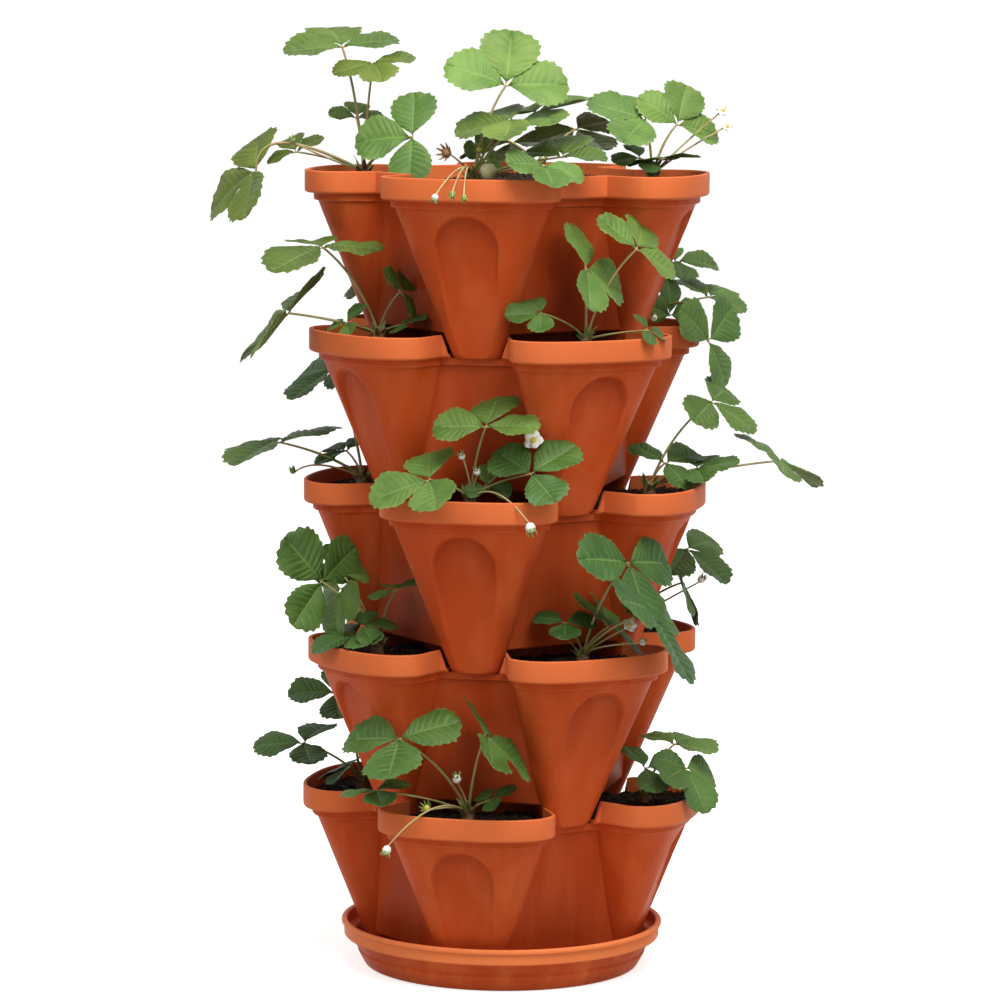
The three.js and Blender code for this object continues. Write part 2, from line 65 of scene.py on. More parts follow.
# Each lamp: name, place, width, power in watts, colour
LAMPS = (
    ("overhead", (0.5, -0.9, 2.4), 1.4, 56, (1, 0.98, 0.95)),
    ("right_front", (2.0, -1.8, 2.3), 1.2, 20, (1, 0.97, 0.93)),
    ("left_front", (-1.4, -2.5, 2.2), 1.2, 14, (0.98, 0.98, 1)),
)
FLOOR_REACH = 90
FLOOR_DROP = 0.0002
SOFT_LIGHT = 0.42
SOFT_COLOUR = (1, 0.985, 0.97, 1)
WHITE = (1, 1, 1, 1)
FLOOR_BOUNCE = (0.5, 0.47, 0.44, 1)
FLOOR_COLOUR = (0.86, 0.86, 0.86, 1)
FLOOR_GLOW = 0.68


def linked(item):
    bpy.context.scene.collection.objects.link(item)
    return item


def put(tree, kind, inputs=None, **settings):
    """Adds a node. inputs maps a socket's name or number to a value, or to the output that feeds it."""
    node = tree.nodes.new(kind)
    for name, value in settings.items():
        setattr(node, name, value)
    for name, value in (inputs or {}).items():
        socket = node.inputs[name]
        if isinstance(value, bpy.types.NodeSocket):
            tree.links.new(value, socket)
        else:
            socket.default_value = value
    return node


def worked(tree, how, *values):
    """What a Math node makes of one or two values, with how = ADD, MULTIPLY, MAXIMUM and so on."""
    return put(tree, "ShaderNodeMath", dict(enumerate(values)), operation=how).outputs[0]


def set_up_camera():
    data = bpy.data.cameras.new("camera")
    data.sensor_width = SENSOR_WIDTH
    data.lens = CAMERA_LENS
    data.shift_x = CAMERA_SHIFT
    data.clip_end = CAMERA_FAR_END
    camera = linked(bpy.data.objects.new("camera", data))
    place = Vector((math.sin(CAMERA_TURN), -math.cos(CAMERA_TURN), 0)) * CAMERA_REACH
    place.z = CAMERA_HEIGHT
    camera.matrix_world = (
        Matrix.Translation(place * MM)
        @ Matrix.Rotation(CAMERA_TURN, 4, "Z")
        @ Matrix.Rotation(math.pi / 2 - CAMERA_DIP, 4, "X")
        @ Matrix.Rotation(CAMERA_ROLL, 4, "Z")
    )
    bpy.context.scene.camera = camera


def hang_lamp(name, place, width, power, colour):
    data = bpy.data.lights.new(name, "AREA")
    data.shape = "DISK"
    data.size = width
    data.energy = power
    data.color = colour
    lamp = linked(bpy.data.objects.new(name, data))
    lamp.location = place
    direction = Vector(LAMP_AIM) - Vector(place)
    lamp.rotation_euler = direction.to_track_quat("-Z", "Y").to_euler()


def seen_rays(tree):
    """1 for rays that see the background: straight, mirrored or through glass."""
    path = put(tree, "ShaderNodeLightPath").outputs
    unbroken = worked(tree, "MAXIMUM", path["Is Camera Ray"], path["Is Glossy Ray"])
    return worked(tree, "MAXIMUM", unbroken, path["Is Transmission Ray"])


def set_up_light():
    world = bpy.data.worlds.new("studio")
    bpy.context.scene.world = world
    world.use_nodes = True
    tree = world.node_tree
    tree.nodes.clear()
    soft = put(tree, "ShaderNodeBackground", {"Color": SOFT_COLOUR, "Strength": SOFT_LIGHT})
    white = put(tree, "ShaderNodeBackground", {"Color": WHITE, "Strength": 1.0})
    mix = put(tree, "ShaderNodeMixShader", {0: seen_rays(tree), 1: soft.outputs[0], 2: white.outputs[0]})
    put(tree, "ShaderNodeOutputWorld", {"Surface": mix.outputs[0]})
    for lamp in LAMPS:
        hang_lamp(*lamp)


def lay_floor():
    mesh = bpy.data.meshes.new("floor")
    corners = [(x * FLOOR_REACH, y * FLOOR_REACH, 0) for x, y in ((-1, -1), (1, -1), (1, 1), (-1, 1))]
    mesh.from_pydata(corners, [], [(0, 1, 2, 3)])
    floor = linked(bpy.data.objects.new("floor", mesh))
    floor.location.z = -FLOOR_DROP
    material = bpy.data.materials.new("white_sweep")
    material.use_nodes = True
    tree = material.node_tree
    tree.nodes.clear()
    bounced = put(tree, "ShaderNodeBsdfDiffuse", {"Color": FLOOR_BOUNCE})
    seen = put(tree, "ShaderNodeBsdfDiffuse", {"Color": FLOOR_COLOUR})
    glow = put(tree, "ShaderNodeEmission", {"Color": WHITE, "Strength": FLOOR_GLOW})
    both = put(tree, "ShaderNodeAddShader", {0: seen.outputs[0], 1: glow.outputs[0]})
    mix = put(tree, "ShaderNodeMixShader", {0: seen_rays(tree), 1: bounced.outputs[0], 2: both.outputs[0]})
    put(tree, "ShaderNodeOutputMaterial", {"Surface": mix.outputs[0]})
    mesh.materials.append(material)


# The tower's sizes, as the frame has them

TIERS = 5
LOBES = 4
POT_HEIGHT = 134.4
NEST_DEPTH = 16.9
TIER_PITCH = POT_HEIGHT - NEST_DEPTH
WALL = 2.6
GAP = 0.3
RIM_REACH = 152.4
RIM_HALF = 67.2
RIM_HEIGHT = 17
RIM_INSET = 6.6
BAND_HEIGHT = 5.8
BAND_INSET = 2.9
FOOT_REACH = 100.5
FOOT_HALF = 18.5
NOSE_SHARE = 0.557
NOSE_EXPONENT = 2.4
ROOT_REACH = 45
ROOT_SHARE = 0.46
RIM_UNDERSIDE = POT_HEIGHT - RIM_HEIGHT
BAND_UNDERSIDE = RIM_UNDERSIDE - BAND_HEIGHT
BAND_REACH = RIM_REACH - RIM_INSET
WALL_REACH = BAND_REACH - BAND_INSET
WALL_HALF = RIM_HALF - RIM_INSET - BAND_INSET
ARCH_HALF = 24.5
ARCH_FOOT_HALF = 16.5
ARCH_DEPTH = 6.5
ARCH_FOOT_DEPTH = 1.3
ARCH_BELOW_RIM = 10
ARCH_TOP = RIM_UNDERSIDE - ARCH_BELOW_RIM
ARCH_EDGE = 2.6
WEB_BAND = FOOT_REACH - RIM_INSET
WEB_TOP = WEB_BAND - BAND_INSET
WEB_FOOT = 85
WEB_FOOT_HEIGHT = 30
WEB_CORNER = 92.5
NOTCH_GAP = 1.2
SEAT_MARGIN = 3
SEAT_HALF = FOOT_HALF + SEAT_MARGIN
SEAT_INNER = 66
SEAT_LEVEL = POT_HEIGHT - NEST_DEPTH - GAP
CUP_RADIUS = 61
CUP_LIFT = 2
CUP_LEDGE = 7
SOIL_BELOW_RIM = 8
SOIL_LEVEL = POT_HEIGHT - SOIL_BELOW_RIM
CROWN_INSET = 40.4
CROWN_REACH = RIM_REACH - CROWN_INSET
CROWN_HEIGHT = 11
LOBE_TURN = 2 * math.pi / LOBES
FIRST_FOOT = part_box("pot_tier_5")[0].z / MM
LETTERS = "abcd"


def tier_matrix(tier, lobe=0):
    """From the frame of a lobe that reaches out along +X to the tower's frame, millimetres to metres."""
    turn = -math.pi / 2 - (LOBE_TURN / 2 if tier % 2 == 0 else 0) + lobe * LOBE_TURN
    lift = FIRST_FOOT + (TIERS - tier) * TIER_PITCH
    return Matrix.Scale(MM, 4) @ Matrix.Translation((0, 0, lift)) @ Matrix.Rotation(turn, 4, "Z")


# Mesh helpers

OVERRUN = 5  # how far a cutting tool reaches past what it cuts
LONGEST_ROUND_SHARE = 0.48
ROUND_STEPS = 4


def new_object(name, mesh, *materials):
    if materials and len(mesh.materials):
        mesh.materials.clear()
    for material in materials:
        mesh.materials.append(material)
    return linked(bpy.data.objects.new(name, mesh))


def baked(piece):
    """The piece with its modifiers made part of a plain mesh."""
    graph = bpy.context.evaluated_depsgraph_get()
    mesh = bpy.data.meshes.new_from_object(piece.evaluated_get(graph))
    result = bpy.data.objects.new(piece.name, mesh)
    old = piece.data
    bpy.data.objects.remove(piece)
    if old.users == 0:
        bpy.data.meshes.remove(old)
    return linked(result)


def combine(base, tool, how):
    """Joins tool to base, or cuts it away, with how = UNION or DIFFERENCE."""
    modifier = base.modifiers.new("combine", "BOOLEAN")
    modifier.operation = how
    modifier.solver = "MANIFOLD"
    modifier.object = tool
    result = baked(base)
    bpy.data.objects.remove(tool)
    return result


def loft(name, rings):
    """A closed solid through rings of as many points each, lowest ring first, each ring counterclockwise."""
    rings = np.asarray(rings, float)
    levels, count = rings.shape[:2]
    faces = []
    for level in range(levels - 1):
        low, high = level * count, (level + 1) * count
        for i in range(count):
            j = (i + 1) % count
            faces.append((low + i, low + j, high + j, high + i))
    faces.append(tuple(range(count - 1, -1, -1)))
    faces.append(tuple(range((levels - 1) * count, levels * count)))
    mesh = bpy.data.meshes.new(name)
    mesh.from_pydata(rings.reshape(-1, 3).tolist(), [], faces)
    mesh.validate()
    return new_object(name, mesh)


def block(name, low, high):
    corners = [[(low[0], low[1], z), (high[0], low[1], z), (high[0], high[1], z), (low[0], high[1], z)]
               for z in (low[2], high[2])]
    return loft(name, corners)


def turned(piece, angle):
    piece.data.transform(Matrix.Rotation(angle, 4, "Z"))
    return piece


def softened(points, radii):
    """An open outline in two coordinates with its corners rounded."""
    result = [points[0]]
    for i in range(1, len(points) - 1):
        before, corner, after = (np.array(points[k], float) for k in (i - 1, i, i + 1))
        back, ahead = before - corner, after - corner
        start = corner + back * min(LONGEST_ROUND_SHARE, radii[i] / np.linalg.norm(back))
        end = corner + ahead * min(LONGEST_ROUND_SHARE, radii[i] / np.linalg.norm(ahead))
        for k in range(ROUND_STEPS + 1):
            t = k / ROUND_STEPS
            result.append(tuple((1 - t) ** 2 * start + 2 * t * (1 - t) * corner + t * t * end))
    result.append(points[-1])
    return result


def spun(name, profile, sides):
    """A closed solid turned round the tower's axis from its outline of radii and heights."""
    inner = [p for p in profile if p[0] > 0]
    count = len(inner)
    low, high = sides * count, sides * count + 1
    points, faces = [], []
    for i in range(sides):
        angle = 2 * math.pi * i / sides
        points += [(r * math.cos(angle), r * math.sin(angle), z) for r, z in inner]
        a, b = i * count, (i + 1) % sides * count
        faces += [(a + k, b + k, b + k + 1, a + k + 1) for k in range(count - 1)]
        faces += [(low, b, a), (a + count - 1, b + count - 1, high)]
    points += [(0, 0, profile[0][1]), (0, 0, profile[-1][1])]
    mesh = bpy.data.meshes.new(name)
    mesh.from_pydata(points, [], faces)
    return new_object(name, mesh)


def smooth(piece, sharp_from):
    """Smooth shading, with edges kept sharp from an angle in degrees."""
    mesh = piece.data
    mesh.shade_smooth()
    mesh.set_sharp_from_angle(angle=math.radians(sharp_from))


def point_places(mesh, kind=float):
    """An array with a row for each point of the mesh."""
    places = np.empty(len(mesh.vertices) * 3, kind)
    mesh.vertices.foreach_get("co", places)
    return places.reshape(-1, 3)


def keep_values(mesh, name, values):
    """Stores a number for each point, for the finish or a node tree to read."""
    mesh.attributes.new(name, "FLOAT", "POINT").data.foreach_set("value", values)


def keep_vectors(mesh, name, vectors):
    flat = np.array([tuple(vector) for vector in vectors], np.float32).ravel()
    mesh.attributes.new(name, "FLOAT_VECTOR", "POINT").data.foreach_set("vector", flat)


# Pots

FRONT_SHARE = 0.62  # how far round the nose, as a sine, the fine front reaches
FRONT_STEPS = 27
CORNER_STEPS = 14
SIDE_STEPS = 5
INSIDE_NOSE_STEPS = 16
INSIDE_SIDE_STEPS = 3
WALL_STEPS = 55
WALL_ENDS_BELOW_BAND = 2.4
NOSE_FROM = 0.9 * FOOT_REACH  # points nearer the axis belong to a lobe's sides
FOOT_BEVEL = 1
FOOT_BEVEL_HEIGHT = 1.1
FOOT_SPREAD = 0.2
ARCH_BACK_DEPTH = 30
SKIRT_CLEARANCE = 0.8
SKIRT_FOOT_HEIGHT = NEST_DEPTH + SKIRT_CLEARANCE
SKIRT_SPREAD_SHARE = 0.14
SKIRT_BEVEL = 0.8
SKIRT_BEVEL_HEIGHT = 0.9
BAND_RADII = (0, 1.3, 1.2, 1.5, 2.4, 1.3, 0)
INSIDE_RADII = (0, 2, 2, 1.3, 0)
CUP_SIDES = 64
# Painted shade inside the top of each arched recess: where it starts as a share of the arch's height, the
# width of its dark crescent in mm, and its share away from the crescent
ARCH_SHADE_FROM_SHARE = 0.375
ARCH_SHADE_CRESCENT = 14
ARCH_SHADE_MIDDLE_SHARE = 0.45


def lobe_ring(reach, half, height, bearings, side_steps):
    """A lobe's outline: a rounded nose at +X, and flat sides that close in towards the middle of the pot."""
    nose = NOSE_SHARE * half
    cos, sin = np.cos(bearings), np.sin(bearings)
    x = reach - nose + nose * np.clip(cos, 0, 1) ** (2 / NOSE_EXPONENT)
    y = half * sin ** (2 / NOSE_EXPONENT)
    t = np.arange(1, side_steps + 1) / side_steps
    x = np.concatenate([x, x[-1] + t * (ROOT_REACH - x[-1])])
    y = np.concatenate([y, y[-1] + t * (ROOT_SHARE * half - y[-1])])
    ring_x = np.concatenate([x[:0:-1], x])
    ring_y = np.concatenate([-y[:0:-1], y])
    return np.stack([ring_x, ring_y, np.full_like(ring_x, height)], 1)


def side_gap(height):
    """How much wider a lobe reaches out than across, at a height."""
    foot, top = FOOT_REACH - FOOT_HALF, WALL_REACH - WALL_HALF
    return foot + (top - foot) * min(height / BAND_UNDERSIDE, 1)


def fine_bearings():
    """Close together over the flat front, where the recess is, and wider apart round the sides."""
    front = np.arcsin(np.linspace(0, FRONT_SHARE, FRONT_STEPS) ** (NOSE_EXPONENT / 2))
    return np.concatenate([front, np.linspace(front[-1], math.pi / 2, CORNER_STEPS)[1:]])


def within_arch(across, height):
    """How far points on a lobe's front lie inside the outline of its arched recess."""
    spring = ARCH_TOP - ARCH_HALF
    sides = ARCH_FOOT_HALF + (ARCH_HALF - ARCH_FOOT_HALF) * height / spring - across
    crown = ARCH_HALF - np.hypot(across, height - spring)
    return np.where(height < spring, sides, crown)


def pressed_in(ring, height):
    """The arched recess: a flat that leans with the lobe's front and meets it in a soft edge."""
    lean = (WALL_REACH - FOOT_REACH) / BAND_UNDERSIDE - (ARCH_DEPTH - ARCH_FOOT_DEPTH) / ARCH_TOP
    flat = FOOT_REACH - ARCH_FOOT_DEPTH + lean * height
    share = np.clip(within_arch(np.abs(ring[:, 1]), height) / ARCH_EDGE, 0, 1)
    share = share * share * (3 - 2 * share)
    depth = np.clip(ring[:, 0] - flat, 0, None)
    ring[:, 0] -= np.where(ring[:, 0] > NOSE_FROM, depth * share, 0)
    return ring


def lobe_outside():
    wall = [(FOOT_REACH - FOOT_BEVEL, 0), (FOOT_REACH + FOOT_SPREAD, FOOT_BEVEL_HEIGHT)]
    rise = BAND_UNDERSIDE - WALL_ENDS_BELOW_BAND - FOOT_BEVEL_HEIGHT
    for step in range(1, WALL_STEPS + 1):
        height = FOOT_BEVEL_HEIGHT + rise * step / WALL_STEPS
        wall.append((FOOT_REACH + (WALL_REACH - FOOT_REACH) * height / BAND_UNDERSIDE, height))
    profile = wall + banded(wall[-1], BAND_REACH, RIM_REACH)[1:]
    bearings = fine_bearings()
    rings = []
    for reach, height in profile:
        ring = lobe_ring(reach, reach - side_gap(height), height, bearings, SIDE_STEPS)
        rings.append(pressed_in(ring, height) if height < ARCH_TOP else ring)
    return rings


def lobe_inside():
    foot = FOOT_REACH + (WALL_REACH - FOOT_REACH) * WALL / BAND_UNDERSIDE - WALL
    profile = hollowed((foot, WALL), BAND_REACH, RIM_REACH)
    bearings = np.linspace(0, math.pi / 2, INSIDE_NOSE_STEPS)
    return [lobe_ring(reach, reach - side_gap(height), height, bearings, INSIDE_SIDE_STEPS)
            for reach, height in profile]


def arch_back():
    """The plain block inside a lobe that keeps the wall whole behind its recess."""
    out = (WALL_REACH - FOOT_REACH) / BAND_UNDERSIDE * ARCH_TOP - ARCH_DEPTH + ARCH_FOOT_DEPTH
    lean = math.atan2(out, ARCH_TOP)
    half, top = ARCH_HALF + WALL, math.hypot(ARCH_TOP, math.tan(lean) * ARCH_TOP) + WALL
    piece = block("arch_back", (0, -half, 0), (ARCH_BACK_DEPTH, half, top))
    foot = FOOT_REACH - ARCH_FOOT_DEPTH - WALL / math.cos(lean)
    piece.data.transform(Matrix.Translation((foot, 0, 0)) @ Matrix.Rotation(lean, 4, "Y"))
    return piece


def middle(name, profile):
    """The eight-sided middle of a pot from reaches and heights: its walls and rims between the lobes."""
    rings = []
    for reach, height in profile:
        corner = WEB_CORNER + max(0, WEB_FOOT_HEIGHT - height) * SKIRT_SPREAD_SHARE
        half = math.sqrt(2) * reach - corner
        ring = []
        for i in range(LOBES):
            c, s = math.cos(i * LOBE_TURN), math.sin(i * LOBE_TURN)
            ring += [(corner * c - y * s, corner * s + y * c, height) for y in (-half, half)]
        rings.append(ring)
    return loft(name, rings)


def banded(wall, band, rim):
    """The outside profile of the two bands at a pot's top, softened at its corners."""
    corners = [wall, (band - BAND_INSET, BAND_UNDERSIDE), (band, BAND_UNDERSIDE), (band, RIM_UNDERSIDE),
               (rim, RIM_UNDERSIDE), (rim, POT_HEIGHT), (rim - WALL / 2, POT_HEIGHT)]
    return softened(corners, BAND_RADII)


def hollowed(foot, band, rim):
    """The inside profile that goes with it."""
    step = RIM_UNDERSIDE + WALL
    corners = [foot, (band - BAND_INSET - WALL, step), (rim - WALL, step), (rim - WALL, POT_HEIGHT),
               (rim - WALL / 2, POT_HEIGHT)]
    return softened(corners, INSIDE_RADII) + [(rim - WALL / 2, POT_HEIGHT + OVERRUN)]


def notch_tool():
    """The room beside the sloping sides of a foot that stands in the rim."""
    rings = []
    for height in (SEAT_LEVEL, POT_HEIGHT + OVERRUN):
        half = FOOT_HALF + (WALL_HALF - FOOT_HALF) * (height - SEAT_LEVEL) / BAND_UNDERSIDE + NOTCH_GAP
        corners = (0, -half), (RIM_REACH, -half), (RIM_REACH, half), (0, half)
        rings.append([(x, y, height) for x, y in corners])
    return loft("notch", rings)


def cylinder(name, radius, low, high):
    return spun(name, [(0, low), (radius, low), (radius, high), (0, high)], CUP_SIDES)


def pot_outside():
    slope = (WEB_TOP - WEB_FOOT) / (BAND_UNDERSIDE - WEB_FOOT_HEIGHT)
    low = WEB_FOOT - slope * (WEB_FOOT_HEIGHT - SKIRT_FOOT_HEIGHT)
    skirt = [(low - SKIRT_BEVEL, SKIRT_FOOT_HEIGHT), (low, SKIRT_FOOT_HEIGHT + SKIRT_BEVEL_HEIGHT),
             (WEB_FOOT, WEB_FOOT_HEIGHT)]
    foot = (WEB_FOOT + slope * WALL, WEB_FOOT_HEIGHT + WALL)
    outside = middle("pot", skirt + banded(foot, WEB_BAND, FOOT_REACH))
    under = [(low - WALL, SKIRT_FOOT_HEIGHT - OVERRUN), (WEB_FOOT - WALL, WEB_FOOT_HEIGHT)]
    outside = combine(outside, middle("under", under), "DIFFERENCE")
    return combine(outside, cylinder("cup", CUP_RADIUS, CUP_LIFT, WEB_FOOT_HEIGHT + WALL / 2), "UNION")


def pot_inside():
    foot = (WEB_FOOT - WALL, WEB_FOOT_HEIGHT + WALL)
    inside = middle("inside", hollowed(foot, WEB_BAND, FOOT_REACH))
    cup = cylinder("cup", CUP_RADIUS - WALL, CUP_LIFT + WALL, WEB_FOOT_HEIGHT + 2 * WALL)
    return combine(inside, cup, "UNION")


def moulded_pot(notched):
    """One pot with its lobes' noses along the axes, in millimetres."""
    outside, inside = pot_outside(), pot_inside()
    for lobe in range(LOBES):
        outside = combine(outside, turned(loft("lobe", lobe_outside()), lobe * LOBE_TURN), "UNION")
        hollow = combine(loft("hollow", lobe_inside()), arch_back(), "DIFFERENCE")
        inside = combine(inside, turned(hollow, lobe * LOBE_TURN), "UNION")
    pot = combine(outside, inside, "DIFFERENCE")
    hole = cylinder("hole", CUP_RADIUS - WALL - CUP_LEDGE, CUP_LIFT - OVERRUN, CUP_LIFT + WALL + OVERRUN)
    pot = combine(pot, hole, "DIFFERENCE")
    if not notched:
        return pot
    turns = [(lobe + 0.5) * LOBE_TURN for lobe in range(LOBES)]
    for turn in turns:
        pot = combine(pot, turned(notch_tool(), turn), "DIFFERENCE")
    low, high = (SEAT_INNER, -SEAT_HALF, SEAT_LEVEL - WALL), (WEB_TOP - WALL / 2, SEAT_HALF, SEAT_LEVEL)
    for turn in turns:
        pot = combine(pot, turned(block("seat", low, high), turn), "UNION")
    return pot


def keep_heights(mesh, level):
    """Stores how far each point lies above a level of its own piece, where the rim's paler colour starts:
    partly wear, partly a painted highlight for the light the rim catches.
    """
    keep_values(mesh, "above_rim_step", point_places(mesh)[:, 2] - level)


def keep_arch_painted_shade(mesh):
    """Stores painted shade for each point in the upper part of an arched recess, strongest in a crescent just
    inside its edge.
    """
    places = point_places(mesh)
    flat = np.sort(np.abs(places[:, :2]), axis=1)
    inside = within_arch(flat[:, 0], places[:, 2])
    upper = np.clip((places[:, 2] / ARCH_TOP - ARCH_SHADE_FROM_SHARE) / (1 - ARCH_SHADE_FROM_SHARE), 0, 1)
    crescent = 1 - np.clip((inside - ARCH_EDGE) / ARCH_SHADE_CRESCENT, 0, 1)
    arch_shade = np.clip(inside / ARCH_EDGE, 0, 1) * upper
    arch_shade *= ARCH_SHADE_MIDDLE_SHARE + (1 - ARCH_SHADE_MIDDLE_SHARE) * crescent
    arch_shade[flat[:, 1] < NOSE_FROM] = 0
    keep_values(mesh, "under_arch", arch_shade)


def make_pots(plastic):
    patterns = moulded_pot(False), moulded_pot(True)
    for tier in range(1, TIERS + 1):
        mesh = patterns[tier > 1].data.copy()
        keep_heights(mesh, RIM_UNDERSIDE)
        keep_arch_painted_shade(mesh)
        mesh.transform(tier_matrix(tier))
        pot = new_object(f"moulded_pot_{tier}", mesh, plastic)
        smooth(pot, sharp_from=38)
        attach(pot, f"tier_{tier}")
        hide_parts(f"pot_tier_{tier}")
    for pattern in patterns:
        bpy.data.objects.remove(pattern)


# Saucer

SAUCER_RIM = 123
SAUCER_HEIGHT = 35.2
SAUCER_RIM_HEIGHT = 12.5
SAUCER_LIP_HEIGHT = 3.6
SAUCER_LIP_OVERHANG = 2
SAUCER_STEP = 5
SAUCER_BASE = 104.5
SAUCER_FLOOR = FIRST_FOOT - GAP
SAUCER_WALL = 2.5
SAUCER_GROOVE_HEIGHT = 13
SAUCER_GROOVE = 1.6
SAUCER_GROOVE_LOWER_INSET = 0.3
SAUCER_GROOVE_UPPER_SPREAD = 0.6
SAUCER_RADII = (0, 2.5, 0.8, 0.8, 1.2, 1.5, 1.6, 0.9, 1.2, 1.8, 1.8, 1.5, 1.5, 4, 0)
SAUCER_SIDES = 168


def make_saucer(plastic):
    low = SAUCER_HEIGHT - SAUCER_RIM_HEIGHT
    lip = SAUCER_HEIGHT - SAUCER_LIP_HEIGHT
    face = SAUCER_RIM - SAUCER_LIP_OVERHANG
    wall = face - SAUCER_STEP
    groove = SAUCER_BASE + (wall - SAUCER_BASE) * SAUCER_GROOVE_HEIGHT / low
    outline = [
        (0, 0), (SAUCER_BASE, 0),
        (groove - SAUCER_GROOVE_LOWER_INSET, SAUCER_GROOVE_HEIGHT - SAUCER_GROOVE),
        (groove - SAUCER_GROOVE, SAUCER_GROOVE_HEIGHT),
        (groove + SAUCER_GROOVE_UPPER_SPREAD, SAUCER_GROOVE_HEIGHT + SAUCER_GROOVE),
        (wall, low), (face, low), (face, lip), (SAUCER_RIM, lip), (SAUCER_RIM, SAUCER_HEIGHT),
        (face - SAUCER_WALL, SAUCER_HEIGHT), (face - SAUCER_WALL, low + SAUCER_WALL),
        (wall - SAUCER_WALL, low + SAUCER_WALL), (SAUCER_BASE - SAUCER_WALL, SAUCER_FLOOR), (0, SAUCER_FLOOR),
    ]
    saucer = spun("moulded_saucer", softened(outline, SAUCER_RADII), SAUCER_SIDES)
    keep_heights(saucer.data, low)
    saucer.data.transform(Matrix.Scale(MM, 4))
    saucer.data.materials.append(plastic)
    smooth(saucer, sharp_from=50)
    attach(saucer, "saucer")
    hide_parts("saucer")


# Potting mix

MIX_MERGE = 0.02
MIX_VOXEL = 3.4
MIX_TOP_DEPTH = 4
MIX_BUMPS = 2.2
MIX_SINK = 2.7
MOUND_HEIGHT = 3.5
MOUND_WIDTH = 15
BUMP_WAVES = (70, 34, 17, 9)
BUMP_BEARINGS = 3
BUMP_GROWTH = 0.6
BUMP_SUM = 55
CRUMB_GROUND_DEPTH = 6
CRUMB_GROUND_UPWARD = 0.5
CRUMB_UPWARD = 0.6
CRUMB_SQUEEZE = (0.55, 1.25)
CRUMB_ROUGHNESS = (0.72, 1.2)
CRUMB_TURNS = (6.28, 6.28, 6.28)
# Each kind of crumb: name, seed, number to a square metre, smallest and largest in metres
CRUMBS = (
    ("crumb", 3, 65000.0, 0.0008, 0.003),
    ("small_crumb", 8, 26000.0, 0.0005, 0.0016),
)


def crumb_pattern(name, seed):
    """A small angular crumb of bark."""
    rng = np.random.default_rng(seed)
    made = bmesh.new()
    bmesh.ops.create_icosphere(made, subdivisions=1, radius=1)
    squeeze = rng.uniform(*CRUMB_SQUEEZE, 3)
    for vertex in made.verts:
        vertex.co = Vector(vertex.co[k] * squeeze[k] * rng.uniform(*CRUMB_ROUGHNESS) for k in range(3))
    mesh = bpy.data.meshes.new(name)
    made.to_mesh(mesh)
    made.free()
    return new_object(name, mesh)


def new_tree(name, given, made, **numbers):
    """A node tree from one shape to another, with named numbers as its other inputs."""
    tree = bpy.data.node_groups.new(name, "GeometryNodeTree")
    face = tree.interface
    face.new_socket(given, in_out="INPUT", socket_type="NodeSocketGeometry")
    for label, value in numbers.items():
        kind = "NodeSocketInt" if isinstance(value, int) else "NodeSocketFloat"
        face.new_socket(label, in_out="INPUT", socket_type=kind).default_value = value
    face.new_socket(made, in_out="OUTPUT", socket_type="NodeSocketGeometry")
    return tree, put(tree, "NodeGroupInput").outputs


def end_tree(tree, shape, material):
    real = put(tree, "GeometryNodeRealizeInstances", {0: shape})
    finished = put(tree, "GeometryNodeSetMaterial", {"Geometry": real.outputs[0], "Material": material})
    put(tree, "NodeGroupOutput", {0: finished.outputs[0]})
    return tree


def set_pieces(tree, points, pattern, **settings):
    shape = put(tree, "GeometryNodeObjectInfo", {"Object": pattern}).outputs["Geometry"]
    settings = {"Points": points, "Instance": shape, **settings}
    return put(tree, "GeometryNodeInstanceOnPoints", settings).outputs[0]


def scatter_tree(pattern, material, density, smallest, largest):
    """Crumbs strewn over a surface's upward faces."""
    numbers = {"Density": density, "Smallest": smallest, "Largest": largest, "Seed": 1}
    tree, given = new_tree(f"strew_{pattern.name}", "Surface", "Crumbs", **numbers)
    normal = put(tree, "ShaderNodeSeparateXYZ", {0: put(tree, "GeometryNodeInputNormal").outputs[0]})
    slope = {0: normal.outputs["Z"], 1: CRUMB_UPWARD}
    upward = put(tree, "FunctionNodeCompare", slope, operation="GREATER_THAN")
    points = put(tree, "GeometryNodeDistributePointsOnFaces", {
        "Mesh": given["Surface"], "Selection": upward.outputs[0], "Density": given["Density"],
        "Seed": given["Seed"]})
    turn = put(tree, "FunctionNodeRandomValue", {0: (0, 0, 0), 1: CRUMB_TURNS, "Seed": given["Seed"]},
               data_type="FLOAT_VECTOR")
    size = put(tree, "FunctionNodeRandomValue", {
        2: given["Smallest"], 3: given["Largest"], "Seed": given["Seed"]}, data_type="FLOAT")
    pieces = {"Rotation": turn.outputs[0], "Scale": size.outputs[1]}
    return end_tree(tree, set_pieces(tree, points.outputs["Points"], pattern, **pieces), material)


def grown(name, mesh, tree, **values):
    """The plain mesh that a node tree makes of a mesh, with its inputs set by their names."""
    piece = new_object(name, mesh)
    modifier = piece.modifiers.new("tree", "NODES")
    modifier.node_group = tree
    for item in tree.interface.items_tree:
        if item.name in values:
            modifier[item.identifier] = values[item.name]
    return baked(piece)


def merged(mesh, distance):
    made = bmesh.new()
    made.from_mesh(mesh)
    bmesh.ops.remove_doubles(made, verts=made.verts, dist=distance)
    made.to_mesh(mesh)
    made.free()


def uneven(x, y, seed):
    """A gentle bumpiness between -1 and 1."""
    rng = np.random.default_rng(seed)
    total = np.zeros_like(x)
    for wave in BUMP_WAVES:
        for _ in range(BUMP_BEARINGS):
            bearing, phase = rng.uniform(0, 2 * math.pi, 2)
            along = x * math.cos(bearing) + y * math.sin(bearing)
            total += wave ** BUMP_GROWTH * np.sin(along * 2 * math.pi / wave + phase)
    return total / BUMP_SUM


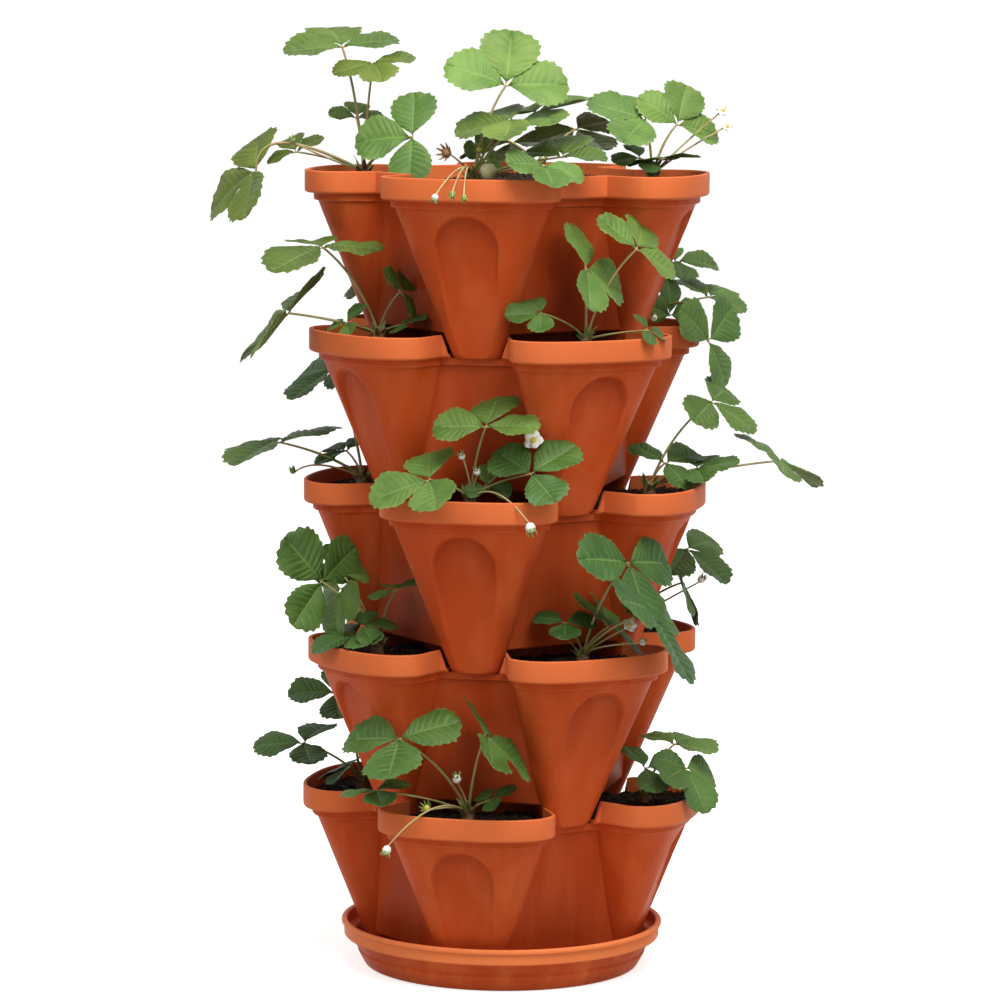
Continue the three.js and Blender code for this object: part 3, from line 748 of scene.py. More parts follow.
def heaped(mesh, tier):
    """Gives a bed of mix an uneven top with a low mound round each crown, and returns the bed's level."""
    places = point_places(mesh, np.float32)
    level = (FIRST_FOOT + (TIERS - tier) * TIER_PITCH + SOIL_LEVEL) * MM
    top = places[:, 2] > level - MIX_TOP_DEPTH * MM
    bumps = uneven(places[:, 0] / MM, places[:, 1] / MM, tier) * MIX_BUMPS - MIX_SINK
    for lobe in range(LOBES):
        crown = tier_matrix(tier, lobe) @ Vector((CROWN_REACH, 0, SOIL_LEVEL))
        away = np.hypot(places[:, 0] - crown.x, places[:, 1] - crown.y) / MM
        bumps += MOUND_HEIGHT * np.exp(-(away / MOUND_WIDTH) ** 2)
    places[top, 2] += (bumps * MM)[top]
    mesh.vertices.foreach_set("co", places.ravel())
    mesh.update()
    return level


def crumb_ground(mesh, level):
    """The top faces of a bed of mix."""
    made = bmesh.new()
    made.from_mesh(mesh)
    lowest = level - CRUMB_GROUND_DEPTH * MM
    left_out = [face for face in made.faces
                if face.calc_center_median().z < lowest or face.normal.z < CRUMB_GROUND_UPWARD]
    bmesh.ops.delete(made, geom=left_out, context="FACES")
    ground = bpy.data.meshes.new("crumb_ground")
    made.to_mesh(ground)
    made.free()
    return ground


def make_mix(tier, dark_mix, trees):
    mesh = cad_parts[f"soil_tier_{tier}"].data.copy()
    merged(mesh, MIX_MERGE * MM)
    mesh.materials.clear()
    bed = new_object(f"potting_mix_{tier}", mesh)
    remesh = bed.modifiers.new("even_faces", "REMESH")
    remesh.mode = "VOXEL"
    remesh.voxel_size = MIX_VOXEL * MM
    bed = baked(bed)
    level = heaped(bed.data, tier)
    bed.data.materials.clear()
    bed.data.materials.append(dark_mix)
    smooth(bed, sharp_from=60)
    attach(bed, f"tier_{tier}")
    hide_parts(f"soil_tier_{tier}")
    for number, tree in enumerate(trees):
        ground = crumb_ground(bed.data, level)
        strewn = grown(f"mix_crumbs_{tier}_{number}", ground, tree, Seed=tier * 10 + number)
        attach(strewn, f"tier_{tier}")


# Strawberry leaves

# A leaflet's edge on one side of its midrib, from its base to its tip, as shares of its length
LEAFLET_EDGE_SHARES = ((0, 0), (0.05, 0.05), (0.13, 0.14), (0.24, 0.255), (0.37, 0.345), (0.5, 0.4),
                       (0.63, 0.42), (0.755, 0.4), (0.865, 0.325), (0.95, 0.19), (1, 0))
# Where its points lie between the midrib and the edge
LEAFLET_ACROSS_SHARES = (0, 0.1, 0.28, 0.48, 0.68, 0.86, 1)
# It is built one unit long, so its teeth, pleats, thickness and ripples are shares of its length too
TEETH = 10
ROWS_TO_A_TOOTH = 4
TOOTH = 0.032
TOOTH_FORWARD = 0.02
EDGE_STEP = 0.02
TOOTH_MIDDLE = 0.35
TEETH_START = 0.26
TEETH_GROWN_OVER = 0.12
TIP_START = 0.9
TIP_LOSS = 0.55
MIDRIB_CROWDING = 1.7
VEIN_SWEEP = 0.05
PLEAT = 0.022
PLEAT_LEAD = 0.05
SWELL = 0.02
SWELL_END = 0.96
SWELL_SHAPE = 0.7
LEAF_SHEET = 0.016
SHEET_TAPER_TIP = 8
SHEET_AT_BASE = 0.25
LEAFLET_MERGE = 0.0004
RIPPLE = 0.06
RIPPLES_ALONG = 11.0
RIPPLES_ACROSS = 6.0


def held(value):
    return min(max(value, 0), 1)


def edge_point(t):
    """A point of the leaflet's edge, for t from 0 at its base to 1 at its tip."""
    last = len(LEAFLET_EDGE_SHARES) - 1
    place = held(t) * last
    i = min(int(place), last - 1)
    f = place - i
    near = (LEAFLET_EDGE_SHARES[min(max(k, 0), last)] for k in (i - 1, i, i + 1, i + 2))
    a, b, c, d = (np.array(point, float) for point in near)
    squared, cubed = 2 * a - 5 * b + 4 * c - d, 3 * b - a - 3 * c + d
    return 0.5 * (2 * b + (c - a) * f + squared * f * f + cubed * f ** 3)


def toothed_edge(q, tooth):
    """The leaflet's edge with its teeth, with tooth from 0 between two teeth to 1 at a point."""
    ahead = edge_point(q + EDGE_STEP) - edge_point(q - EDGE_STEP)
    outward = np.array((-ahead[1], ahead[0]))
    outward /= np.linalg.norm(outward) or 1
    grown_share = held((q - TEETH_START) / TEETH_GROWN_OVER)
    toothed = grown_share * (1 - TIP_LOSS * max(q - TIP_START, 0) / (1 - TIP_START))
    forward = np.array((TOOTH_FORWARD * tooth * toothed, 0))
    return edge_point(q) + outward * TOOTH * (tooth - TOOTH_MIDDLE) * toothed + forward


def leaflet_quarter(side, below):
    """Half the upper or lower skin of a leaflet: its points, and for each its shares along and across."""
    points, maps = [], []
    rows = TEETH * ROWS_TO_A_TOOTH
    for i in range(rows + 1):
        q = i / rows
        tooth = 1 - abs((q * TEETH) % 1 - 0.5) * 2
        edge = toothed_edge(q, tooth) if 0 < i < rows else (q, 0)
        for s in LEAFLET_ACROSS_SHARES:
            x = (1 - s) * q ** MIDRIB_CROWDING + s * edge[0] + VEIN_SWEEP * s * (1 - s) * (1 - q)
            body = math.sin(math.pi * min(s, SWELL_END)) ** SWELL_SHAPE if s else 0
            pleat = PLEAT * (1 - tooth) * math.sqrt(math.sin(math.pi * min(q + PLEAT_LEAD, 1)))
            rise = (pleat + SWELL) * body
            if below:
                taper = min(1, SHEET_TAPER_TIP * (1 - q), SHEET_AT_BASE + SHEET_TAPER_TIP * q)
                rise -= LEAF_SHEET * (1 - s ** 4) * taper
            points.append((x, side * s * edge[1], rise))
            maps.append((q, s))
    return points, maps


def leaflet_pattern():
    """A leaflet one unit long with veins, pleats and a toothed edge. It stores each point's own place."""
    rows, width = TEETH * ROWS_TO_A_TOOTH, len(LEAFLET_ACROSS_SHARES)
    points, maps, under, faces = [], [], [], []
    for side, below in ((1, False), (1, True), (-1, False), (-1, True)):
        first = len(points)
        new_points, new_maps = leaflet_quarter(side, below)
        points += new_points
        maps += new_maps
        under += [float(below)] * len(new_points)
        for i in range(rows):
            for a in range(first + i * width, first + (i + 1) * width - 1):
                quad = (a, a + width, a + width + 1, a + 1)
                faces.append(quad if (side > 0) != below else quad[::-1])
    mesh = bpy.data.meshes.new("leaflet_pattern")
    mesh.from_pydata(points, [], faces)
    loops = np.empty(len(mesh.loops), np.int32)
    mesh.loops.foreach_get("vertex_index", loops)
    mesh.uv_layers.new(name="veins").uv.foreach_set("vector", np.array(maps, np.float32)[loops].ravel())
    keep_values(mesh, "under", under)
    merged(mesh, LEAFLET_MERGE)
    keep_vectors(mesh, "own_place", point_places(mesh, np.float32))
    mesh.shade_smooth()
    return new_object("leaflet_pattern", mesh)


def leaf_tree(pattern, material):
    """Sets a leaflet on each point: folded along its midrib, bent and turned as the point says."""
    tree, given = new_tree("set_leaflets", "Bases", "Leaflets", Ripple=RIPPLE)

    def named(name, kind="FLOAT"):
        node = put(tree, "GeometryNodeInputNamedAttribute", {"Name": name}, data_type=kind)
        return node.outputs["Attribute"]

    def times(a, b):
        return worked(tree, "MULTIPLY", a, b)

    def plus(a, b):
        return worked(tree, "ADD", a, b)

    real = put(tree, "GeometryNodeRealizeInstances", {0: set_pieces(tree, given["Bases"], pattern)})
    x, y, z = put(tree, "ShaderNodeSeparateXYZ", {0: named("own_place", "FLOAT_VECTOR")}).outputs
    beside = worked(tree, "ABSOLUTE", y)
    folded = times(named("fold"), beside)
    drooped = times(named("droop"), times(x, x))
    curled = times(named("curl"), times(y, y))
    phase = plus(times(x, RIPPLES_ALONG), plus(named("phase"), times(y, RIPPLES_ACROSS)))
    rippled = times(times(worked(tree, "SINE", phase), beside), given["Ripple"])
    height = worked(tree, "SUBTRACT", plus(plus(z, folded), rippled), plus(drooped, curled))
    bent = put(tree, "ShaderNodeCombineXYZ", {0: x, 1: times(y, named("width")), 2: height}).outputs[0]
    sized = put(tree, "ShaderNodeVectorMath", {0: bent, "Scale": named("length")}, operation="SCALE")
    turn = put(tree, "FunctionNodeEulerToRotation", {0: named("turn", "FLOAT_VECTOR")})
    turned_place = put(tree, "FunctionNodeRotateVector", {0: sized.outputs[0], 1: turn.outputs[0]})
    place = put(tree, "ShaderNodeVectorMath", {0: turned_place.outputs[0], 1: named("base", "FLOAT_VECTOR")},
                operation="ADD")
    moved = put(tree, "GeometryNodeSetPosition", {"Geometry": real.outputs[0], "Position": place.outputs[0]})
    return end_tree(tree, moved.outputs[0], material)


def stalk_tree(material):
    """A round stalk along each line, as thick as the line's points say."""
    tree, given = new_tree("grow_stalks", "Lines", "Stalks", Sides=8)
    line = put(tree, "GeometryNodeMeshToCurve", {0: given["Lines"]})
    thick = put(tree, "GeometryNodeInputNamedAttribute", {"Name": "thick"}, data_type="FLOAT")
    ring = put(tree, "GeometryNodeCurvePrimitiveCircle", {"Resolution": given["Sides"], "Radius": 1.0})
    tube = put(tree, "GeometryNodeCurveToMesh", {
        "Curve": line.outputs[0], "Profile Curve": ring.outputs[0], "Scale": thick.outputs["Attribute"],
        "Fill Caps": True})
    rounded = put(tree, "GeometryNodeSetShadeSmooth", {0: tube.outputs[0]})
    return end_tree(tree, rounded.outputs[0], material)


# Each leaf is [out, side, up, leaflet length, tilts towards, tilt, heading, spread, paleness, yellowness].
# The first four are shares of the tier pitch from the plant's crown, the next four degrees: 0 is outwards.
LEAVES = {
    "1_a": [
        [0.0, 0.21, 0.64, 0.42, 27, 56, 194, 76, 0.85, 0.15],
        [-0.2, 0.36, 0.47, 0.35, 323, 14, 122, 92, 0.55, 0.35],
        [0.03, 0.26, 0.43, 0.35, 333, 20, 286, 76, 0.6, 0.45],
        [-0.1, 0.04, 0.18, 0.17, 56, 70, 218, 76, 0.6, 0.5],
        [0.2, 0.5, 0.16, 0.28, 54, 28, 30, 76, 0.7, 0.05],
        [-0.13, 0.54, 0.2, 0.3, 0, 24, 171, 76, 0.4, 0.5],
    ],
    "1_b": [
        [-0.03, -0.09, 0.41, 0.37, 312, 30, 185, 76, 0.65, 0.1],
        [0.15, 0.04, 0.38, 0.32, 317, 59, 106, 76, 0.75, 0.25],
        [0.09, -0.15, 0.17, 0.26, 155, 8, 84, 76, 0.45, 0.1],
        [-0.06, -0.1, 0.17, 0.19, 305, 29, 221, 95, 0.4, 0.2],
    ],
    "1_c": [
        [0.2, -0.2, 0.3, 0.32, 0, 30, 330, 95, 0.5, 0.2],
        [-0.1, 0.25, 0.25, 0.3, 90, 25, 80, 95, 0.5, 0.2],
        [0.25, 0.25, 0.2, 0.28, 30, 35, 30, 95, 0.5, 0.2],
    ],
    "1_d": [
        [0.14, 0.03, 0.85, 0.4, 99, 22, 297, 84, 0.55, 0.4],
        [-0.08, 0.07, 0.75, 0.29, 80, 22, 114, 85, 0.6, 0.7],
        [0.66, 0.24, 0.05, 0.45, 42, 52, 355, 83, 0.5, 0.75],
        [0.44, 0.06, 0.17, 0.22, 68, 33, 292, 76, 0.5, 0.7],
        [-0.41, 0.34, 0.29, 0.36, 92, 54, 6, 89, 0.75, 0.05],
        [0.08, -0.11, 0.39, 0.2, 114, 31, 285, 76, 0.5, 0.5],
    ],
    "2_a": [
        [0.3, -0.19, 0.6, 0.42, 15, 13, 12, 115, 0.5, 0.5],
        [0.49, -0.3, 0.18, 0.47, 332, 47, 293, 91, 0.45, 0.4],
        [0.22, -0.04, 0.12, 0.17, 4, 44, 175, 110, 0.4, 0.2],
        [-0.06, 0.18, 0.33, 0.2, 126, 60, 242, 95, 0.5, 0.1],
        [-0.1, 0.14, 0.12, 0.16, 354, 25, 125, 87, 0.3, 0.1],
    ],
    "2_b": [
        [0.12, -0.08, 0.51, 0.35, 30, 60, 90, 95, 0.8, 0.1],
        [0.03, -0.35, 0.23, 0.22, 333, 25, 249, 76, 0.5, 0.0],
        [0.28, 0.19, 0.63, 0.33, 21, 49, 148, 82, 0.65, 0.25],
        [0.28, 0.28, 0.12, 0.15, 29, 45, 91, 107, 0.45, 0.1],
    ],
    "2_c": [
        [0.1, -0.33, 0.12, 0.24, 286, 85, 99, 76, 0.55, 0.1],
        [0.21, -0.62, -0.03, 0.35, 286, 80, 52, 100, 0.55, 0.1],
        [0.44, -0.28, 0.23, 0.28, 274, 23, 31, 76, 0.5, 0.2],
        [0.26, -0.16, 0.46, 0.28, 260, 21, 344, 95, 0.4, 0.3],
    ],
    "2_d": [
        [0.25, 0.2, 0.35, 0.32, 30, 35, 30, 95, 0.4, 0.1],
        [0.2, -0.25, 0.25, 0.3, 320, 30, 320, 95, 0.4, 0.1],
    ],
    "3_a": [
        [0.3, -0.19, 0.2, 0.38, 335, 34, 284, 93, 0.65, 0.1],
        [0.18, 0.14, 0.53, 0.36, 353, 24, 180, 89, 0.5, 0.25],
        [0.14, 0.42, 0.24, 0.34, 357, 40, 136, 97, 0.5, 0.0],
        [0.02, 0.12, 0.12, 0.16, 18, 59, 198, 95, 0.5, 0.2],
    ],
    "3_b": [
        [0.1, 0.02, 0.21, 0.29, 310, 29, 59, 99, 0.4, 0.0],
        [0.3, 0.03, 0.18, 0.27, 244, 18, 8, 76, 0.4, 0.0],
        [0.81, 0.19, 0.23, 0.36, 12, 34, 50, 120, 0.5, 0.25],
        [0.37, 0.17, 0.6, 0.33, 329, 35, 355, 89, 0.45, 0.3],
    ],
    "3_c": [
        [0.25, -0.2, 0.35, 0.32, 330, 35, 330, 95, 0.4, 0.1],
        [0.2, 0.25, 0.25, 0.3, 40, 30, 40, 95, 0.4, 0.1],
    ],
    "3_d": [
        [0.53, 0.12, 0.28, 0.46, 20, 13, 321, 100, 0.4, 0.25],
        [0.24, -0.12, 0.74, 0.35, 42, 29, 45, 80, 0.35, 0.1],
        [0.13, -0.06, 0.22, 0.24, 43, 20, 315, 76, 0.3, 0.0],
    ],
    "4_a": [
        [0.3, -0.19, 0.46, 0.38, 98, 80, 318, 96, 0.4, 0.1],
        [0.13, -0.24, 0.5, 0.22, 90, 49, 270, 95, 0.4, 0.3],
        [0.2, -0.11, 0.42, 0.33, 354, 80, 352, 76, 0.45, 0.4],
        [0.17, 0.1, 0.2, 0.22, 71, 19, 158, 76, 0.35, 0.0],
        [0.16, 0.02, 0.14, 0.3, 4, 15, 352, 79, 0.4, 0.1],
        [-0.01, 0.22, 0.44, 0.2, 347, 17, 250, 89, 0.35, 0.1],
    ],
    "4_b": [
        [0.22, 0.19, 0.65, 0.42, 16, 56, 7, 94, 0.35, 0.0],
        [0.38, 0.26, 0.35, 0.5, 49, 56, 35, 100, 0.35, 0.0],
        [0.1, 0.13, 0.23, 0.33, 47, 45, 163, 77, 0.45, 0.1],
        [-0.03, -0.12, 0.26, 0.22, 344, 20, 329, 110, 0.25, 0.0],
    ],
    "4_c": [
        [0.34, -0.21, 0.56, 0.34, 277, 41, 301, 80, 0.4, 0.2],
        [0.2, -0.36, 0.36, 0.3, 329, 70, 346, 76, 0.35, 0.2],
    ],
    "4_d": [
        [0.25, 0.2, 0.35, 0.32, 30, 35, 30, 95, 0.35, 0.1],
        [0.2, -0.25, 0.25, 0.3, 320, 30, 320, 95, 0.35, 0.1],
    ],
    "5_a": [
        [0.2, -0.4, 0.54, 0.42, 332, 28, 1, 107, 0.4, 0.0],
        [0.2, 0.16, 0.58, 0.4, 93, 46, 123, 92, 0.4, 0.05],
        [0.01, 0.14, 0.14, 0.18, 314, 29, 116, 95, 0.35, 0.0],
        [0.3, -0.53, 0.22, 0.24, 332, 15, 24, 98, 0.35, 0.0],
    ],
    "5_b": [
        [0.18, 0.04, 0.38, 0.31, 332, 6, 68, 76, 0.5, 0.2],
        [0.04, -0.22, 0.26, 0.26, 299, 29, 38, 95, 0.45, 0.0],
        [0.29, -0.15, 0.26, 0.31, 337, 52, 332, 76, 0.5, 0.0],
    ],
    "5_c": [
        [0.25, -0.2, 0.35, 0.32, 330, 35, 330, 95, 0.4, 0.1],
        [0.2, 0.25, 0.25, 0.3, 40, 30, 40, 95, 0.4, 0.1],
    ],
    "5_d": [
        [0.36, 0.13, 0.3, 0.32, 82, 21, 4, 110, 0.35, 0.0],
        [0.21, -0.12, 0.6, 0.3, 108, 29, 15, 95, 0.35, 0.0],
        [0.05, 0.09, 0.15, 0.24, 22, 25, 349, 77, 0.3, 0.0],
    ],
}
SIDE_LEAFLET = 0.92
BLADE_GROWTH = 1.04
BLADE_START = 2.4
SIDE_BLADE_START = 1.6
BLADE_END_GAP = 2
BLADE_ROLL = 0.1
# What each leaflet draws at random: its bends, its width, where its ripples start, and shifts of its colours
LEAFLET_RANGES = {
    "fold": (0.08, 0.26), "droop": (0.0, 0.14), "curl": (-0.1, 0.35), "width": (1.02, 1.14), "phase": (0, 6),
    "pale": (-0.12, 0.08), "yellow": (-0.06, 0.1),
}
STALK_STEPS = 14
PETIOLE = 0.85
PETIOLE_SHARE = 0.75
PETIOLE_GROWTH = 0.9
PETIOLE_FOOT, PETIOLE_HEAD, RIB_FOOT, RIB_HEAD = 1.25, 0.85, 0.8, 0.45
PETIOLE_BELOW_LEAF = 0.6
RIB_BELOW_LEAF = 0.7
RIB_PLACES = (-0.6, 1.5, 4)
HANGING_RISE = 24


def crown_point():
    return Vector((CROWN_REACH, 0, SOIL_LEVEL + CROWN_HEIGHT / 2))


def stalk_line(start, bend, end):
    shares = [i / STALK_STEPS for i in range(STALK_STEPS + 1)]
    return [(1 - t) ** 2 * start + 2 * t * (1 - t) * bend + t * t * end for t in shares]


def plant_place(out, side, rise):
    """A place given as shares of the tier pitch from where the plant's crown stands."""
    return Vector((CROWN_REACH + out * TIER_PITCH, side * TIER_PITCH, SOIL_LEVEL + rise * TIER_PITCH))


def leaf_frame(row):
    """The leaf's junction and the three directions of its plane: downhill, level and up."""
    tilt_to, tilt = math.radians(row[4]), math.radians(row[5])
    cos, sin = math.cos(tilt_to), math.sin(tilt_to)
    up = Vector((math.sin(tilt) * cos, math.sin(tilt) * sin, math.cos(tilt)))
    downhill = Vector((math.cos(tilt) * cos, math.cos(tilt) * sin, -math.sin(tilt)))
    return plant_place(*row[:3]), downhill, up.cross(downhill), up


def leaflet_directions(row):
    """For each of a leaf's three leaflets, its side, -1, 0 or 1, and the direction in which it points."""
    _, downhill, level, _ = leaf_frame(row)
    heading, spread = math.radians(row[6] - row[4]), math.radians(row[7])
    for side in (-1, 0, 1):
        angle = heading + side * spread
        yield side, downhill * math.cos(angle) + level * math.sin(angle)


def petiole_line(end):
    start = crown_point()
    hangs = end.z < SOIL_LEVEL + HANGING_RISE / 2
    bend = start.lerp(end, 1 if hangs else 1 / 3)
    bend.z = SOIL_LEVEL + 2 * HANGING_RISE if hangs else start.z + (end.z - start.z) * 2 / 3
    return stalk_line(start, bend, end)


def make_leaves(key, matrix, tree, rng):
    """The blades of one plant: three leaflets to a leaf."""
    turning = matrix.to_3x3().normalized()
    bases, turns = [], []
    columns = {name: [] for name in ("length", *LEAFLET_RANGES)}
    for row in LEAVES[key]:
        junction, _, _, up = leaf_frame(row)
        for side, along in leaflet_directions(row):
            leaflet = Matrix((along, up.cross(along), up)).transposed()
            leaflet = turning @ leaflet @ Matrix.Rotation(rng.normal(0, BLADE_ROLL), 3, "X")
            turns.append(leaflet.to_euler("XYZ"))
            bases.append(matrix @ (junction + along * (SIDE_BLADE_START if side else BLADE_START)))
            values = {name: rng.uniform(*limits) for name, limits in LEAFLET_RANGES.items()}
            values["pale"] += row[8]
            values["yellow"] += row[9]
            length = row[3] * TIER_PITCH * (SIDE_LEAFLET if side else 1)
            values["length"] = (length * BLADE_GROWTH - BLADE_END_GAP) * MM
            for name, value in values.items():
                columns[name].append(value)
    mesh = bpy.data.meshes.new("bases")
    mesh.from_pydata([tuple(base) for base in bases], [], [])
    for name, column in columns.items():
        keep_values(mesh, name, column)
    keep_vectors(mesh, "base", bases)
    keep_vectors(mesh, "turn", turns)
    leaves = grown(f"strawberry_leaves_{key}", mesh, tree)
    smooth(leaves, sharp_from=70)
    return leaves


def leaf_stalks(row):
    """A leaf's petiole and its leaflets' stalks, each as points, thickness at both ends and paleness."""
    junction, _, _, up = leaf_frame(row)
    swell = PETIOLE * (PETIOLE_SHARE + PETIOLE_GROWTH * row[3])
    petiole = petiole_line(junction - up * PETIOLE_BELOW_LEAF)
    lines = [(petiole, swell * PETIOLE_FOOT, swell * PETIOLE_HEAD, row[8])]
    for _, along in leaflet_directions(row):
        rib = [junction - up * RIB_BELOW_LEAF + along * place for place in RIB_PLACES]
        lines.append((rib, swell * RIB_FOOT, swell * RIB_HEAD, row[8]))
    return lines


def make_stalks(name, lines, matrix, tree):
    points, edges, thick, pale = [], [], [], []
    for line, low, high, tone in lines:
        first, steps = len(points), len(line) - 1
        points += [tuple(matrix @ point) for point in line]
        edges += [(first + i, first + i + 1) for i in range(steps)]
        thick += [(low + (high - low) * i / steps) * MM for i in range(steps + 1)]
        pale += [tone] * len(line)
    mesh = bpy.data.meshes.new(name)
    mesh.from_pydata(points, edges, [])
    keep_values(mesh, "thick", thick)
    keep_values(mesh, "pale", pale)
    return grown(name, mesh, tree)


# Buds, flowers and young fruit: [kind, out, side, up, size, looks towards x, y, z, bends at out, side, up].
# Places are shares of the tier pitch, from the plant's crown.
BLOSSOMS = {
    "1_a": [
        ["fruit", 0.08, 0.12, 0.15, 8.5, 0.5, 0.1, -1, 0.02, 0.1, 0.2],
        ["calyx", 0.09, 0.07, 0.24, 6, 1, -0.2, 0.5, 0, 0.02, 0.1],
        ["withered", 0.16, -0.12, 0.22, 8, 1, -0.3, 0.2, 0.02, 0, 0.08],
        ["bud", 0.47, -0.12, -0.03, 3.4, 0.4, -0.2, -1, 0.2, 0.01, 0.15],
        ["bud", 0.44, -0.02, -0.01, 3.2, 0.5, 0, -1, 0.2, 0.01, 0.15],
        ["bud", 0.43, 0.05, -0.03, 3.0, 0.5, 0.3, -1, 0.2, 0.01, 0.15],
    ],
    "1_b": [
        ["flower", 0.43, 0.1, 0.47, 6, 0.6, -0.5, 0.5, 0.05, 0.02, 0.1],
        ["flower", 0.46, 0.11, 0.37, 5, 0.6, -0.6, 0.2, 0.05, 0.02, 0.1],
    ],
    "1_d": [["bud", 0.42, 0.19, 0.24, 3.2, 0.3, 0.3, 1, 0.3, 0.1, 0.12]],
    "2_c": [["bud", -0.15, -0.51, 0.12, 3.4, 0, -0.6, 0.6, -0.02, -0.2, 0.1]],
    "3_a": [
        ["bud", 0.09, -0.03, 0.32, 3.6, 0.4, -0.4, 0.8, 0.03, 0.02, 0.1],
        ["bud", 0.07, 0.06, 0.22, 3.4, 0.4, 0, 0.8, 0.03, 0.02, 0.08],
        ["flower", -0.01, 0.4, 0.43, 8, 1, 0.2, 0.5, 0, 0.1, 0.1],
        ["bud", 0.37, 0.47, -0.06, 5, 0.5, 0.3, -0.8, 0.2, 0.2, 0.12],
    ],
    "3_d": [["bud", 0.42, 0.18, 0.09, 3.2, 0.2, 0.3, 1, 0.3, 0.12, 0.1]],
    "4_b": [
        ["flower", 0.23, 0.2, 0.25, 6, 0.8, -0.3, 0.5, 0.05, 0.05, 0.08],
        ["bud", 0.27, 0.27, 0.14, 3.4, 0.8, -0.3, 0.5, 0.05, 0.05, 0.08],
    ],
    "4_c": [["bud", 0.32, -0.4, 0.37, 4, 0.3, -0.4, 0.7, 0.05, -0.1, 0.1]],
    "5_a": [
        ["bud", 0.1, -0.05, 0.27, 4.4, 0.3, 0, 1, 0.02, 0.0, 0.1],
        ["calyx", 0.22, -0.21, 0.1, 6, 0.8, -0.2, 0.7, 0.05, -0.05, 0.08],
        ["bud", 0.57, -0.38, -0.09, 4.4, 0.3, -0.2, -1, 0.25, -0.15, 0.14],
    ],
}
# The materials of the small parts, in the order of their slots
SEPAL, PETAL, FLOWER_MIDDLE, YOUNG_FRUIT, DRY_SHEATH = range(5)
# Outlines of the small bodies, as shares of their size: radius, height
FLOWER_DOME_SHARES = ((0, -0.05), (0.3, 0.02), (0.3, 0.12), (0.17, 0.26), (0, 0.3))
BUD_SHARES = ((0, -0.5), (0.55, -0.25), (0.78, 0.3), (0.55, 0.85), (0, 1.05))
FRUIT_SHARES = ((0, 0), (0.5, 0.05), (0.72, 0.4), (0.66, 0.9), (0.4, 1.35), (0, 1.6))
CALYX_MIDDLE_SHARES = ((0, -0.2), (0.42, 0), (0.4, 0.4), (0, 0.6))
BODY_SIDES = 10
FRUIT_SIDES = 14
# A bud larger than this shows its petals
OPENING_BUD = 3.3
# Rings of petals and sepals: how many, length and width as shares, lift, whether pointed, material, tip
BLOSSOM_RINGS = {
    "flower": ((5, 1, 0.95, 0.1, False, PETAL, 0.15), (5, 0.75, 0.4, -0.1, True, SEPAL, -0.1)),
    "bud": ((6, 1.7, 0.75, 0.3, True, SEPAL, 0.8),),
    "fruit": ((8, 1.0, 0.36, -0.3, True, SEPAL, 0.0),),
    "calyx": ((9, 1.15, 0.42, 0.5, True, SEPAL, 0.35),),
    "withered": ((9, 1.15, 0.42, 0.5, True, DRY_SHEATH, 0.35),),
}
RING_UNEVEN = 0.12
TIP_UNEVEN = 0.15
PETAL_STEPS = 6
PETAL_SHEET = 0.35
PETAL_CUP = 0.12
PETAL_BACK_SHARE = 0.98
PETAL_SPAN = 0.92
PETAL_LEAD = 0.06
PETAL_ROUNDNESS = 0.7
PETAL_END = 0.02
SEPAL_TAPER = 0.6
SEPAL_FOOT = 0.4
SEPAL_SPREAD = 2.4
CROWN_OUTLINE = ((0, -6), (4.6, -5), (5.4, 0), (4.4, 5), (2.6, CROWN_HEIGHT - 1), (0, CROWN_HEIGHT))
CROWN_SIDES = 12
SHEATHS = 9
SHEATH_TURN = 2.4
SHEATH_TURN_UNEVEN = 0.3
SHEATH_REACH = 2.6
SHEATH_FOOT = 1
SHEATH_RISE = 0.7
SHEATH_LEAN = (0.9, 1.35)
SHEATH_LENGTH = (8, 14)
SHEATH_WIDTH = 5.5
SHEATH_LIFT = -0.15
BLOSSOM_STALK = (0.9, 0.6, 0.8)
BLOSSOM_STALK_SHARE = 0.3
LOW_BLOSSOM = 0.1
LOW_BEND, HIGH_BEND = 12, 4


def mark(faces, number):
    for face in faces:
        face.material_index = number
        face.smooth = True


def round_body(made, matrix, profile, sides=BODY_SIDES):
    """A small body turned round its own z, from an outline of radius and height."""
    rings = []
    for radius, height in profile:
        angles = [2 * math.pi * k / sides for k in range(sides if radius else 1)]
        rings.append([made.verts.new(matrix @ Vector((radius * math.cos(a), radius * math.sin(a), height)))
                      for a in angles])
    faces = []
    for low, high in zip(rings, rings[1:]):
        for k in range(sides):
            n = (k + 1) % sides
            if len(low) == 1:
                corners = low[0], high[n], high[k]
            elif len(high) == 1:
                corners = low[k], low[n], high[0]
            else:
                corners = low[k], low[n], high[n], high[k]
            faces.append(made.faces.new(corners))
    return faces


def petal_half(t, width, pointed):
    """Half a petal's or sepal's width at a share of its length."""
    if pointed:
        return width / 2 * (1 - t) ** SEPAL_TAPER * min(1, SEPAL_FOOT + SEPAL_SPREAD * t)
    if t == 1:
        return width / 2 * PETAL_END
    return width / 2 * math.sin(math.pi * min(t * PETAL_SPAN + PETAL_LEAD, 1)) ** PETAL_ROUNDNESS


